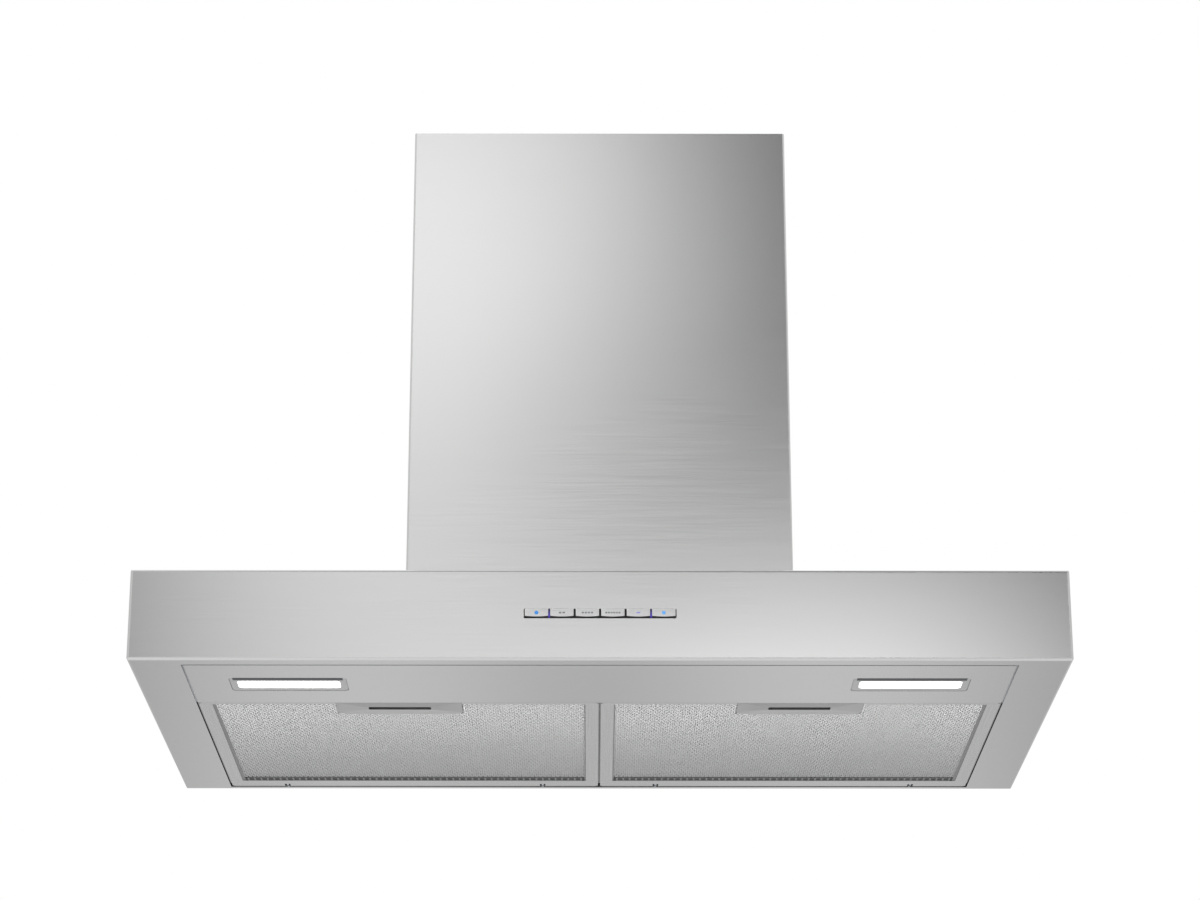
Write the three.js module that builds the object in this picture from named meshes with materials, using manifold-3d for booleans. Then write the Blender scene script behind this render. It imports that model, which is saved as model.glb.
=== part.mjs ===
// Wall-mounted chimney range hood: a flat steel canopy under a telescopic duct cover, with a centrifugal
// blower between them. Millimetres, +Z up. X runs along the width and the front faces -Y; the wall is the
// plane y = CANOPY_DEPTH / 2. The origin is the centre of the underside.

import * as THREE from 'three';
import { mergeVertices } from 'three/addons/utils/BufferGeometryUtils.js';
import Module from 'manifold-3d';

const wasm = await Module();
wasm.setup();

// ---------------------------------------------------------------- driving dimensions

// Clearances
const SEAT = 0.3; // between a piece and what carries it
const PAST = 5; // how far a cutter runs past the face that it cuts

// Canopy: a folded box of stainless sheet, open below
const CANOPY_WIDTH = 900;
const CANOPY_DEPTH = 500;
const CANOPY_HEIGHT = 90;
const SHEET = 1;
const CANOPY_BEND = 2.5; // outside radius of its folds
const FRONT_LIP = 17; // underside flange behind the front
const SIDE_LIP = 50; // underside flange at each end
const REAR_LIP = 9; // underside flange at the wall
const WALL_SLOT_WIDTH = 46; // openings in the back for the wall hooks
const WALL_SLOT_HEIGHT = 30;
const WALL_SLOT_TOP = 14; // below the canopy's top
const WALL_SLOT_FROM_END = 130;
const CABLE_HOLE = 24;

// Lamp panel: the flat strip in front of the filters
const PANEL_FROM_FRONT = 19.5;
const PANEL_DEPTH = 132;
const PANEL_GAP = 2; // visible joint along its ends
const PANEL_EDGE_WIDTH = 12; // raised edge that lies on the canopy's flanges
const PANEL_FOLD_HEIGHT = 9; // upright fold along its rear edge

// Lamps
const LAMP_WIDTH = 114;
const LAMP_DEPTH = 46;
const LAMP_CORNER = 5;
const LAMP_FROM_END = 38.5; // panel end to lamp opening
const LAMP_FROM_PANEL_FRONT = 43;
const LAMP_FIT = 0.4;
const BEZEL_RIM = 3; // lies on the panel round the opening
const BEZEL_THICKNESS = 1.2;
const LENS_WIDTH = 100;
const LENS_DEPTH = 25;
const LENS_CORNER = 4;
const LENS_SET_BACK = 2.3; // behind the middle of the opening
const LENS_RIM = 2;
const LENS_THICKNESS = 1.2;
const LAMP_WALL = 1.4;
const LAMP_HOUSING_HEIGHT = 20;
const LAMP_FLANGE = 9;
const LAMP_BOSS_RADIUS = 3.5;
const LAMP_BOSS_HEIGHT = 5;
const LAMP_BOARD = 1.4;
const LED_SIZE = 3.5;
const LED_COUNT = 8;

// Grease filters
const FILTER_MIDDLE_GAP = 2.4;
const FILTER_SIDE_GAP = 2;
const FILTER_FRONT_GAP = 1;
const FILTER_REAR_GAP = 3;
const FILTER_HEIGHT = 9;
const FILTER_LIFT = 0.2; // frame above the canopy's underside
const FILTER_WALL = 0.8;
const FILTER_SIDE_STRIP = 13;
const FILTER_FRONT_STRIP = 6;
const FILTER_REAR_STRIP = 23;
const FILTER_CORNER = 4;
const MESH_THICKNESS = 0.9;
const MESH_REAR_MARGIN = 10; // keeps the layers clear of the hinge pins
const CRIMP_PITCH = 22; // waves of the wire layers between the sheets
const CRIMP_THICKNESS = 0.5;

// Filter hinges: round pins in the frame's rear strip, held by ears of the rear rail
const HINGE_PIN_RADIUS = 2;
const HINGE_PLAY = 0.4;
const HINGE_SETBACK = 3; // pin axis in front of the frame's rear edge
const HINGE_NOTCH = 6;
const HINGE_NOTCH_DEPTH = 9;
const HINGE_LUG = 4;
const HINGE_FROM_END = 60;
const EAR_THICKNESS = 2;
const EAR_RADIUS = 4.5;
const EAR_ARM_HEIGHT = 7;
const RAIL_HEIGHT = 20;

// Filter handle and latch
const HANDLE_WIDTH = 125;
const HANDLE_DEPTH = 31;
const HANDLE_WALL = 1.2;
const HANDLE_BEVEL = 1;
const HANDLE_DISH = 2.4; // depth of the pressed recess under it
const HANDLE_DISH_CORNER = 9;
const FINGER_SLOT_WIDTH = 62;
const FINGER_SLOT_DEPTH = 11.5;
const FINGER_SLOT_FROM_FRONT = 10;
const LATCH_TRAVEL = 6;
const LATCH_THICKNESS = 3.6;
const LATCH_LIP = 1.8;
const LATCH_ARM = 5;
const TONGUE_WIDTH = 40;
const TONGUE_REACH = 4; // past the fold of the lamp panel
const TONGUE_THICKNESS = 2;
const TONGUE_PLAY = 0.8;

// Push buttons
const BUTTON_COUNT = 6;
const BUTTON_PITCH = 24.3;
const BUTTON_GAP = 1;
const BUTTON_HEIGHT = 9;
const BUTTON_CENTRE_HEIGHT = 46;
const BUTTON_PROUD = 1.4;
const BUTTON_TRAVEL = 1;
const BUTTON_BEVEL = 0.5;
const BUTTON_FLANGE = 2.2; // above and below the cap, behind the front
const BUTTON_FLANGE_THICKNESS = 1;
const BUTTON_STEM = 4;
const BUTTON_STEM_LENGTH = 5;
const KEYPAD_FRAME_WALL = 2;
const KEYPAD_END = 12; // screw end on each side
const KEYPAD_SCREW_RADIUS = 1.7;
const SWITCH_HEIGHT = 2.6;
const BOARD = 1.6;

// Chimney: lower cover on the canopy, upper cover telescoped inside it
const CHIMNEY_WIDTH = 398;
const CHIMNEY_DEPTH = 280;
const CHIMNEY_HEIGHT = 565;
const CHIMNEY_BEND = 2;
const COVER_RETURN = 14;
const COVER_PLAY = 0.5; // sliding gap between the two covers
const UPPER_COVER_LIFT = 22;
const UPPER_COVER_TOP_DROP = 1.5;
const VENT_COUNT = 5;
const VENT_LENGTH = 90;
const VENT_HEIGHT = 5;
const VENT_PITCH = 13;
const VENT_FROM_TOP = 40;
const CEILING_BRACKET_THICKNESS = 2;
const CEILING_BRACKET_HEIGHT = 36;
const CEILING_BRACKET_FROM_TOP = 12;
const CEILING_BRACKET_REACH = 32;
const CEILING_BRACKET_PLAY = 3; // beside the covers' rear folds
const COVER_BRACKET_LENGTH = 44;
const COVER_BRACKET_HEIGHT = 17;
const COVER_BRACKET_FOOT = 26;
const COVER_BRACKET_THICKNESS = 1.8;
const COVER_BRACKET_FROM_FRONT = 60;

// Blower box: galvanised housing on the canopy's top
const BOX_SIDE_ROOM = 46; // beside it, for cables and clamps
const BOX_FROM_COVER_FRONT = 9.5;
const BOX_HEIGHT = 240;
const BOX_FLANGE = 8;
const AIR_OPENING_MARGIN = 22; // canopy opening inside the box's footprint
const BOX_RIB_COUNT = 3;
const BOX_RIB_DEPTH = 2;
const BOX_RIB_WIDTH = 8;

// Scroll, double-inlet impeller and motor; their axis is along X
const SCROLL_FROM_BOX_FRONT = 40;
const SCROLL_FROM_BOX_REAR = 10;
const SCROLL_ABOVE_CANOPY = 15;
const SCROLL_HALF_WIDTH = 65;
const SCROLL_WALL = 2;
const SCROLL_CUT_OFF = 7; // from the impeller to the tongue
const SCROLL_OPENING = 28; // growth of the spiral from the tongue to the outlet
const SCROLL_TONGUE_ANGLE = 430; // where the spiral ends, degrees from the rear
const SCROLL_STEPS = 18;
const SCROLL_FLANGE = 7;
const SCROLL_SPLIT = 0.15; // half of the joint between its halves
const INLET_CLEARANCE = 4; // inside the blades
const INLET_LIP = 5;
const IMPELLER_RADIUS = 65;
const IMPELLER_HALF_WIDTH = 57;
const BLADE_COUNT = 28;
const BLADE_DEPTH = 12;
const BLADE_THICKNESS = 1;
const BLADE_LEAN = 0.11; // radians by which the outer edge leads
const BLADE_CURVE = 2.4; // sag of the cupped blade
const BLADE_STEPS = 2;
const IMPELLER_RING = 2;
const IMPELLER_DISC = 2;
const HUB_RADIUS = 12;
const HUB_HALF_LENGTH = 8;
const SHAFT_RADIUS = 4;
const MOTOR_RADIUS = 38;
const MOTOR_START = 14;
const MOTOR_LENGTH = 36;
const MOTOR_BOSS_RADIUS = 14;
const MOTOR_BOSS_LENGTH = 6;
const MOTOR_EDGE = 4;
const MOTOR_ARM_COUNT = 3;
const MOTOR_ARM_WIDTH = 12;
const MOTOR_ARM_REACH = 14; // onto the scroll's side, past the inlet
const MOTOR_ARM_THICKNESS = 3;

// Duct outlet with its backdraft flaps
const DUCT_DIAMETER = 149;
const COLLAR_WALL = 2.2;
const COLLAR_HEIGHT = 62;
const COLLAR_FLANGE = 14;
const COLLAR_FLANGE_THICKNESS = 2.4;
const COLLAR_BEAD = 1.2; // raised ring that holds the duct's clip
const FLAP_SEAT_HEIGHT = 18; // stop ring above the collar's base
const FLAP_SEAT_WIDTH = 2.6;
const FLAP_THICKNESS = 1.2;
const FLAP_PLAY = 1;
const FLAP_PIN_RADIUS = 1.5;
const FLAP_KNUCKLE_RADIUS = 3.2;
const FLAP_KNUCKLE_COUNT = 6;
const FLAP_KNUCKLE_GAP = 0.5;
const FLAP_HUB_WIDTH = 7; // boss in the collar's wall that holds the pin
const FLAP_HUB_RELIEF = 8; // lets the flap swing past that boss

// Electrical pieces
const CONTROL_WIDTH = 150;
const CONTROL_DEPTH = 96;
const CONTROL_HEIGHT = 38;
const CONTROL_WALL = 2;
const CONTROL_FROM_AIR_OPENING = 50;
const CONTROL_FROM_BACK = 70;
const RELAY_COUNT = 4;
const RELAY_SIZE = 14;
const DRIVER_WIDTH = 118;
const DRIVER_DEPTH = 46;
const DRIVER_HEIGHT = 26;
const DRIVER_FIN_COUNT = 9;
const JUNCTION_WIDTH = 27;
const JUNCTION_DEPTH = 72;
const JUNCTION_HEIGHT = 56;
const JUNCTION_LID = 3;
const JUNCTION_ABOVE_CANOPY = 60;
const JUNCTION_FROM_BOX_REAR = 24;
const GLAND_RADIUS = 9;
const GLAND_BORE = 4;
const GLAND_LENGTH = 16;
const CAPACITOR_RADIUS = 14;
const CAPACITOR_HEIGHT = 58;
const CAPACITOR_ABOVE_CANOPY = 60;
const CAPACITOR_FROM_BOX_REAR = 60;

// Wall hangers
const HANGER_WIDTH = 38;
const HANGER_HEIGHT = 52;
const HANGER_DEPTH = 16;
const HANGER_HOOK_WIDTH = 24;
const HANGER_HOOK_HEIGHT = 12;
const HANGER_SCREW_RADIUS = 3;
const HANGER_SCREW_HEAD = 5;

// Facets of round forms
const FINE = 32;
const ROUND = 16;
const SMALL = 8;
const BEND_STEPS = 2;

// ---------------------------------------------------------------- finishes

const FINISHES = {
  stainless: { color: 0xc4c2c0, roughness: 0.32, metalness: 0.95 },
  galvanised: { color: 0xa9adb0, roughness: 0.5, metalness: 0.85 },
  aluminium: { color: 0xbcbdbe, roughness: 0.42, metalness: 0.9 },
  zincSteel: { color: 0x9a9c9e, roughness: 0.4, metalness: 0.9 },
  blackPlastic: { color: 0x1d1e20, roughness: 0.55, metalness: 0 },
  greyPlastic: { color: 0x6c6f72, roughness: 0.5, metalness: 0 },
  silverPlastic: { color: 0xb3b5b8, roughness: 0.35, metalness: 0.2 },
  whitePlastic: { color: 0xe8e8e6, roughness: 0.45, metalness: 0 },
  lightPlastic: { color: 0xb8babb, roughness: 0.45, metalness: 0 },
  frostedGlass: { color: 0xf4f6f8, roughness: 0.35, metalness: 0 },
  circuitBoard: { color: 0x1f5a3a, roughness: 0.6, metalness: 0 },
};

const hood = new THREE.Group();
hood.name = 'chimney_range_hood';

// ---------------------------------------------------------------- shapes and solids

// Turns local (x, y, depth) of an extrusion into the part's axes: upright, along the width, or front to back.
const AXES = {
  z: new THREE.Matrix4(),
  x: new THREE.Matrix4().makeBasis(
    new THREE.Vector3(0, 1, 0),
    new THREE.Vector3(0, 0, 1),
    new THREE.Vector3(1, 0, 0),
  ),
  y: new THREE.Matrix4().makeBasis(
    new THREE.Vector3(1, 0, 0),
    new THREE.Vector3(0, 0, 1),
    new THREE.Vector3(0, -1, 0),
  ),
};

function solidOf(geometry) {
  const bare = geometry.clone();
  bare.deleteAttribute('normal');
  bare.deleteAttribute('uv');
  const merged = mergeVertices(bare, 1e-4);
  const mesh = new wasm.Mesh({
    numProp: 3,
    vertProperties: new Float32Array(merged.attributes.position.array),
    triVerts: new Uint32Array(merged.index.array),
  });
  return new wasm.Manifold(mesh);
}

function geometryOf(solid) {
  const mesh = solid.getMesh();
  const geometry = new THREE.BufferGeometry();
  geometry.setAttribute('position', new THREE.BufferAttribute(mesh.vertProperties, 3));
  geometry.setIndex(new THREE.BufferAttribute(mesh.triVerts, 1));
  geometry.computeVertexNormals();
  return geometry;
}

function join(solids) {
  return solids.reduce((whole, solid) => whole.add(solid));
}

function cut(solid, cutters) {
  return cutters.reduce((left, cutter) => left.subtract(cutter), solid);
}

function mirrored(solid) {
  return solid.mirror([1, 0, 0]);
}

function box(x0, x1, y0, y1, z0, z1) {
  const geometry = new THREE.BoxGeometry(x1 - x0, y1 - y0, z1 - z0);
  geometry.translate((x0 + x1) / 2, (y0 + y1) / 2, (z0 + z1) / 2);
  return solidOf(geometry);
}

// An extrusion of a flat shape between two planes across one axis.
function plate(shape, axis, from, to, steps = BEND_STEPS) {
  const depth = to - from;
  const geometry = new THREE.ExtrudeGeometry(shape, { depth, bevelEnabled: false, curveSegments: steps });
  geometry.applyMatrix4(AXES[axis]);
  const start = axis === 'y' ? to : from;
  geometry.translate(axis === 'x' ? start : 0, axis === 'y' ? start : 0, axis === 'z' ? start : 0);
  return solidOf(geometry);
}

function roundedRectangle(u0, u1, v0, v1, radius) {
  const shape = new THREE.Shape();
  shape.moveTo(u0 + radius, v0);
  shape.lineTo(u1 - radius, v0);
  shape.absarc(u1 - radius, v0 + radius, radius, -Math.PI / 2, 0, false);
  shape.lineTo(u1, v1 - radius);
  shape.absarc(u1 - radius, v1 - radius, radius, 0, Math.PI / 2, false);
  shape.lineTo(u0 + radius, v1);
  shape.absarc(u0 + radius, v1 - radius, radius, Math.PI / 2, Math.PI, false);
  shape.lineTo(u0, v0 + radius);
  shape.absarc(u0 + radius, v0 + radius, radius, Math.PI, Math.PI * 1.5, false);
  return shape;
}

// A straight round rod or hole between two planes across one axis, centred at (u, v) of that plane.
function rod(axis, u, v, radius, from, to, sides = ROUND) {
  const shape = new THREE.Shape();
  for (let i = 0; i < sides; i += 1) {
    const angle = (i / sides) * Math.PI * 2;
    const corner = [u + radius * Math.cos(angle), v + radius * Math.sin(angle)];
    if (i === 0) {
      shape.moveTo(...corner);
    } else {
      shape.lineTo(...corner);
    }
  }
  return plate(shape, axis, from, to);
}

// A ring turned about an axis through (u, v): the profile gives [radius, height] pairs anticlockwise.
function turned(axis, u, v, profile, sides = FINE) {
  const points = profile.map(([radius, height]) => new THREE.Vector2(radius, height));
  const open = profile[0][0] > 0;
  if (open) {
    points.push(points[0].clone());
  }
  const geometry = new THREE.LatheGeometry(points, sides);
  geometry.applyMatrix4(new THREE.Matrix4().makeRotationX(Math.PI / 2));
  geometry.applyMatrix4(AXES[axis]);
  const offset = { z: [u, v, 0], x: [0, u, v], y: [u, 0, v] }[axis];
  geometry.translate(...offset);
  return solidOf(geometry);
}

function place(name, solid, finish) {
  const material = new THREE.MeshStandardMaterial(FINISHES[finish]);
  const mesh = new THREE.Mesh(geometryOf(solid), material);
  mesh.name = name;
  hood.add(mesh);
}

// Places a piece built for the right-hand side, and its mirror image on the left.
function placePair(name, solid, finish) {
  place(`${name}_left`, mirrored(solid), finish);
  place(`${name}_right`, solid, finish);
}

// ---------------------------------------------------------------- shared places

const wallY = CANOPY_DEPTH / 2;
const frontY = -CANOPY_DEPTH / 2;
const endX = CANOPY_WIDTH / 2;
const canopyTop = CANOPY_HEIGHT;
const insideTop = canopyTop - SHEET;
const insideBack = wallY - SHEET;
const insideFront = frontY + SHEET;
const flangeTop = SHEET;

const openingEnd = endX - SIDE_LIP;
const openingFront = frontY + FRONT_LIP;
const openingBack = wallY - REAR_LIP;

const panelEnd = openingEnd - PANEL_GAP;
const panelFront = frontY + PANEL_FROM_FRONT;
const panelBack = panelFront + PANEL_DEPTH;
const lampX = panelEnd - LAMP_FROM_END - LAMP_WIDTH / 2;
const lampY = panelFront + LAMP_FROM_PANEL_FRONT + LAMP_DEPTH / 2;
const lensY = lampY + LENS_SET_BACK;

const filterInner = FILTER_MIDDLE_GAP / 2;
const filterOuter = openingEnd - FILTER_SIDE_GAP;
const filterX = (filterInner + filterOuter) / 2;
const filterFront = panelBack + FILTER_FRONT_GAP;
const filterBack = openingBack - FILTER_REAR_GAP;
const filterBottom = FILTER_LIFT;
const filterTop = FILTER_LIFT + FILTER_HEIGHT;
const hingeY = filterBack - HINGE_SETBACK;
const hingeZ = filterBottom + FILTER_HEIGHT / 2;
const hingeXs = [filterInner + HINGE_FROM_END, filterOuter - HINGE_FROM_END];

const keypadHalf = (BUTTON_COUNT * BUTTON_PITCH - BUTTON_GAP) / 2;
const windowHalf = keypadHalf + BUTTON_GAP / 2;
const windowBottom = BUTTON_CENTRE_HEIGHT - BUTTON_HEIGHT / 2 - SEAT;
const windowTop = BUTTON_CENTRE_HEIGHT + BUTTON_HEIGHT / 2 + SEAT;

const coverFront = wallY - CHIMNEY_DEPTH;
const coverHalf = CHIMNEY_WIDTH / 2;
const coverBottom = canopyTop + SEAT;
const coverTop = canopyTop + CHIMNEY_HEIGHT;
const upperHalf = coverHalf - SHEET - COVER_PLAY;
const upperFront = coverFront + SHEET + COVER_PLAY;
const upperBack = wallY - SHEET - SEAT;
const upperBottom = canopyTop + UPPER_COVER_LIFT;
const upperTop = coverTop - UPPER_COVER_TOP_DROP;

const boxHalf = upperHalf - SHEET - BOX_SIDE_ROOM;
const boxFront = upperFront + SHEET + BOX_FROM_COVER_FRONT;
const boxBottom = canopyTop + SEAT;
const boxTop = boxBottom + BOX_HEIGHT;

const tongueAngle = THREE.MathUtils.degToRad(SCROLL_TONGUE_ANGLE);
const scrollSmall = IMPELLER_RADIUS + SCROLL_CUT_OFF;
const scrollLarge = scrollSmall + SCROLL_OPENING;
const inletRadius = IMPELLER_RADIUS - BLADE_DEPTH - INLET_CLEARANCE;
const axisY = boxFront + SCROLL_FROM_BOX_FRONT + scrollLarge;
const axisZ = canopyTop + SCROLL_ABOVE_CANOPY + voluteRadius(Math.PI * 1.5);
const outletFront = axisY - scrollLarge;
const outletBack = axisY + scrollSmall * Math.cos(tongueAngle);
const boxBack = axisY + voluteRadius(Math.PI * 2) + SCROLL_FROM_BOX_REAR;
const airHalf = boxHalf - AIR_OPENING_MARGIN;
const airFront = boxFront + AIR_OPENING_MARGIN;
const airBack = boxBack - AIR_OPENING_MARGIN;
const ductY = (outletFront + outletBack) / 2;
const collarRadius = DUCT_DIAMETER / 2;
const collarBore = collarRadius - COLLAR_WALL;
const collarBottom = boxTop + SEAT;
const flapSeatZ = collarBottom + FLAP_SEAT_HEIGHT;
const flapBottom = flapSeatZ + SEAT;
const flapPinZ = flapBottom + FLAP_KNUCKLE_RADIUS - SEAT / 3;

// Radius of the scroll's spiral at an angle: largest at the front, PI, and smallest at the tongue.
function voluteRadius(angle) {
  const share = (angle - Math.PI) / (tongueAngle - Math.PI);
  return scrollLarge + share * (scrollSmall - scrollLarge);
}

// ---------------------------------------------------------------- canopy

function foldedBox(x, y0, y1, z0, z1, bend) {
  const plan = plate(roundedRectangle(-x, x, y0, y1, bend), 'z', z0, z1);
  const section = plate(roundedRectangle(y0, y1, z0, z1, bend), 'x', -x, x);
  const face = plate(roundedRectangle(-x, x, z0, z1, bend), 'y', y0, y1);
  return plan.intersect(section).intersect(face);
}

function buildCanopy() {
  const inner = CANOPY_BEND - SHEET;
  const outside = foldedBox(endX, frontY, wallY, 0, canopyTop, CANOPY_BEND);
  const inside = foldedBox(endX - SHEET, insideFront, insideBack, SHEET, insideTop, inner);
  const underside = box(-openingEnd, openingEnd, openingFront, openingBack, -PAST, SHEET + PAST);
  const airShape = roundedRectangle(-airHalf, airHalf, airFront, airBack, 12);
  const airOpening = plate(airShape, 'z', insideTop - PAST, canopyTop + PAST);
  const windowShape = roundedRectangle(-windowHalf, windowHalf, windowBottom, windowTop, 1);
  const window = plate(windowShape, 'y', frontY - PAST, insideFront + PAST);
  const cableX = (airHalf + upperHalf) / 2;
  const cableHole = rod('z', cableX, airBack, CABLE_HOLE / 2, insideTop - PAST, canopyTop + PAST);
  const slotX = endX - WALL_SLOT_FROM_END;
  const slotTop = canopyTop - WALL_SLOT_TOP;
  const slotShape = roundedRectangle(
    slotX - WALL_SLOT_WIDTH / 2,
    slotX + WALL_SLOT_WIDTH / 2,
    slotTop - WALL_SLOT_HEIGHT,
    slotTop,
    4,
  );
  const slot = plate(slotShape, 'y', insideBack - PAST, wallY + PAST);
  const cutters = [inside, underside, airOpening, window, cableHole, slot, mirrored(slot)];
  place('canopy_shell', cut(outside, cutters), 'stainless');
}

// Rail at the wall: an angle on the rear flange, with four ears that hold the filters' hinge pins.
function buildHingeRail() {
  const railBack = insideBack - SEAT;
  const railBottom = flangeTop + SEAT;
  const end = openingEnd - SEAT;
  const section = new THREE.Shape();
  section.moveTo(openingBack + SEAT, railBottom);
  section.lineTo(railBack - CANOPY_BEND, railBottom);
  section.lineTo(railBack, railBottom + CANOPY_BEND);
  section.lineTo(railBack, railBottom + RAIL_HEIGHT);
  section.lineTo(railBack - SHEET, railBottom + RAIL_HEIGHT);
  section.lineTo(railBack - SHEET, railBottom + CANOPY_BEND + SHEET / 2);
  section.lineTo(railBack - CANOPY_BEND - SHEET / 2, railBottom + SHEET);
  section.lineTo(openingBack + SEAT, railBottom + SHEET);
  const angle = plate(section, 'x', -end, end);
  const ears = [];
  for (const x of hingeXs) {
    const x0 = x - EAR_THICKNESS / 2;
    const x1 = x + EAR_THICKNESS / 2;
    const eye = rod('x', hingeY, hingeZ, EAR_RADIUS, x0, x1, SMALL);
    const armTop = hingeZ + EAR_ARM_HEIGHT;
    const arm = box(x0, x1, hingeY, railBack - SHEET / 2, hingeZ - 2, armTop);
    const corner = box(x0 - 1, x1 + 1, hingeY - EAR_RADIUS, hingeY, hingeZ + EAR_RADIUS, armTop + 1);
    const hole = rod('x', hingeY, hingeZ, HINGE_PIN_RADIUS + HINGE_PLAY, x0 - PAST, x1 + PAST, SMALL);
    const ear = cut(join([eye, arm]), [hole, corner]);
    ears.push(ear, mirrored(ear));
  }
  place('filter_hinge_rail', join([angle, ...ears]), 'galvanised');
}

// ---------------------------------------------------------------- lamp panel and lamps

function buildLampPanel() {
  const rimInner = panelEnd - SHEET;
  const rimOuter = openingEnd + PANEL_EDGE_WIDTH;
  const rimFront = openingFront - PANEL_EDGE_WIDTH;
  const rimBottom = flangeTop + SEAT;
  const face = box(-panelEnd, panelEnd, panelFront, panelBack, 0, SHEET);
  const rim = box(-rimOuter, rimOuter, rimFront, panelBack, rimBottom, rimBottom + SHEET);
  const rimHole = box(-rimInner, rimInner, panelFront + SHEET, panelBack + PAST, 0, CANOPY_HEIGHT);
  const rise = box(-panelEnd, panelEnd, panelFront, panelBack, 0, rimBottom + SHEET);
  const fold = box(-rimInner, rimInner, panelBack - SHEET, panelBack, 0, PANEL_FOLD_HEIGHT);
  const window = (x) => box(
    x - TONGUE_WIDTH / 2 - TONGUE_PLAY,
    x + TONGUE_WIDTH / 2 + TONGUE_PLAY,
    panelBack - PAST,
    panelBack + PAST,
    latchBottom() + LATCH_THICKNESS / 2 - TONGUE_THICKNESS / 2 - TONGUE_PLAY,
    latchBottom() + LATCH_THICKNESS / 2 + TONGUE_THICKNESS / 2 + TONGUE_PLAY,
  );
  const lampShape = roundedRectangle(
    lampX - LAMP_WIDTH / 2,
    lampX + LAMP_WIDTH / 2,
    lampY - LAMP_DEPTH / 2,
    lampY + LAMP_DEPTH / 2,
    LAMP_CORNER,
  );
  const lampHole = plate(lampShape, 'z', -PAST, SHEET + PAST);
  const edges = cut(join([rim, rise]), [rimHole]);
  const sheet = join([face, edges, fold]);
  const cutters = [window(filterX), window(-filterX), lampHole, mirrored(lampHole)];
  place('lamp_panel', cut(sheet, cutters), 'stainless');
}

function lampRectangle(grow, corner) {
  const u = LAMP_WIDTH / 2 + grow;
  const v = LAMP_DEPTH / 2 + grow;
  return roundedRectangle(lampX - u, lampX + u, lampY - v, lampY + v, corner);
}

function lensRectangle(grow, corner) {
  const u = LENS_WIDTH / 2 + grow;
  const v = LENS_DEPTH / 2 + grow;
  return roundedRectangle(lampX - u, lampX + u, lensY - v, lensY + v, corner);
}

// A bezel fills the panel's opening and carries the smaller lens.
function buildLamps() {
  const seat = SHEET + SEAT;
  const bezelBottom = seat - SHEET * 0.9;
  const bezelTop = seat + BEZEL_THICKNESS;
  const insert = plate(lampRectangle(-LAMP_FIT, LAMP_CORNER - LAMP_FIT), 'z', bezelBottom, bezelTop);
  const bezelRim = plate(lampRectangle(BEZEL_RIM, LAMP_CORNER + BEZEL_RIM), 'z', seat, bezelTop, 1);
  const lensHole = plate(lensRectangle(0, LENS_CORNER), 'z', bezelBottom - PAST, bezelTop + PAST);
  placePair('lamp_bezel', cut(insert.add(bezelRim), [lensHole]), 'lightPlastic');

  const lensSeat = bezelTop + SEAT;
  const lensTop = lensSeat + LENS_THICKNESS;
  const lensShape = lensRectangle(-LAMP_FIT, LENS_CORNER - LAMP_FIT);
  const lensBody = plate(lensShape, 'z', bezelBottom + SEAT, lensTop);
  const lensRim = plate(lensRectangle(LENS_RIM, LENS_CORNER + LENS_RIM), 'z', lensSeat, lensTop, 1);
  placePair('lamp_lens', lensBody.add(lensRim), 'frostedGlass');

  const roomGrow = BEZEL_RIM + SEAT;
  const top = seat + LAMP_HOUSING_HEIGHT;
  const shell = plate(lampRectangle(roomGrow + LAMP_WALL, LAMP_CORNER + BEZEL_RIM), 'z', seat, top);
  const roomShape = lampRectangle(roomGrow, LAMP_CORNER + BEZEL_RIM);
  const room = plate(roomShape, 'z', seat - PAST, top - LAMP_WALL, 1);
  const flange = box(
    lampX - LAMP_WIDTH / 2 - roomGrow - LAMP_FLANGE,
    lampX + LAMP_WIDTH / 2 + roomGrow + LAMP_FLANGE,
    lampY - LAMP_DEPTH / 4,
    lampY + LAMP_DEPTH / 4,
    seat,
    seat + LAMP_WALL,
  );
  const bossX = LAMP_WIDTH / 2 - LAMP_BOSS_RADIUS * 2;
  const bossY = LAMP_DEPTH / 2 - LAMP_BOSS_RADIUS * 2;
  const bossBottom = top - LAMP_WALL - LAMP_BOSS_HEIGHT;
  const bosses = [];
  for (const [i, j] of [[-1, -1], [1, -1], [-1, 1], [1, 1]]) {
    const x = lampX + i * bossX;
    const y = lampY + j * bossY;
    bosses.push(rod('z', x, y, LAMP_BOSS_RADIUS, bossBottom, top - SEAT, SMALL));
  }
  const ribs = [];
  for (const i of [-1, 0, 1]) {
    const x = lampX + i * LAMP_WIDTH / 4;
    const y = LAMP_DEPTH / 2;
    const half = LAMP_WALL / 2;
    ribs.push(box(x - half, x + half, lampY - y, lampY + y, top - LAMP_WALL, top + LAMP_WALL));
  }
  const body = join([cut(shell.add(flange), [room]), ...bosses, ...ribs]);
  placePair('lamp_housing', body, 'whitePlastic');

  const boardTop = bossBottom - SEAT;
  const ledBottom = boardTop - LAMP_BOARD - 1;
  const boardShape = lampRectangle(-LAMP_FIT - LAMP_WALL, LAMP_CORNER);
  const board = plate(boardShape, 'z', boardTop - LAMP_BOARD, boardTop);
  const leds = [];
  for (let i = 0; i < LED_COUNT; i += 1) {
    const x = lampX + ((i + 0.5) / LED_COUNT - 0.5) * (LAMP_WIDTH - LED_SIZE * 4);
    const half = LED_SIZE / 2;
    leds.push(box(x - half, x + half, lensY - half, lensY + half, ledBottom, boardTop - LAMP_BOARD / 2));
  }
  placePair('lamp_board', join([board, ...leds]), 'circuitBoard');
}

// ---------------------------------------------------------------- grease filters

// A cassette: a folded channel round two perforated sheets and the wire layers between them.
function filterRectangle(inset, rearInset, z0, z1, corner) {
  const shape = roundedRectangle(
    filterInner + inset,
    filterOuter - inset,
    filterFront + inset,
    filterBack - rearInset,
    corner,
  );
  return plate(shape, 'z', z0, z1);
}

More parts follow.
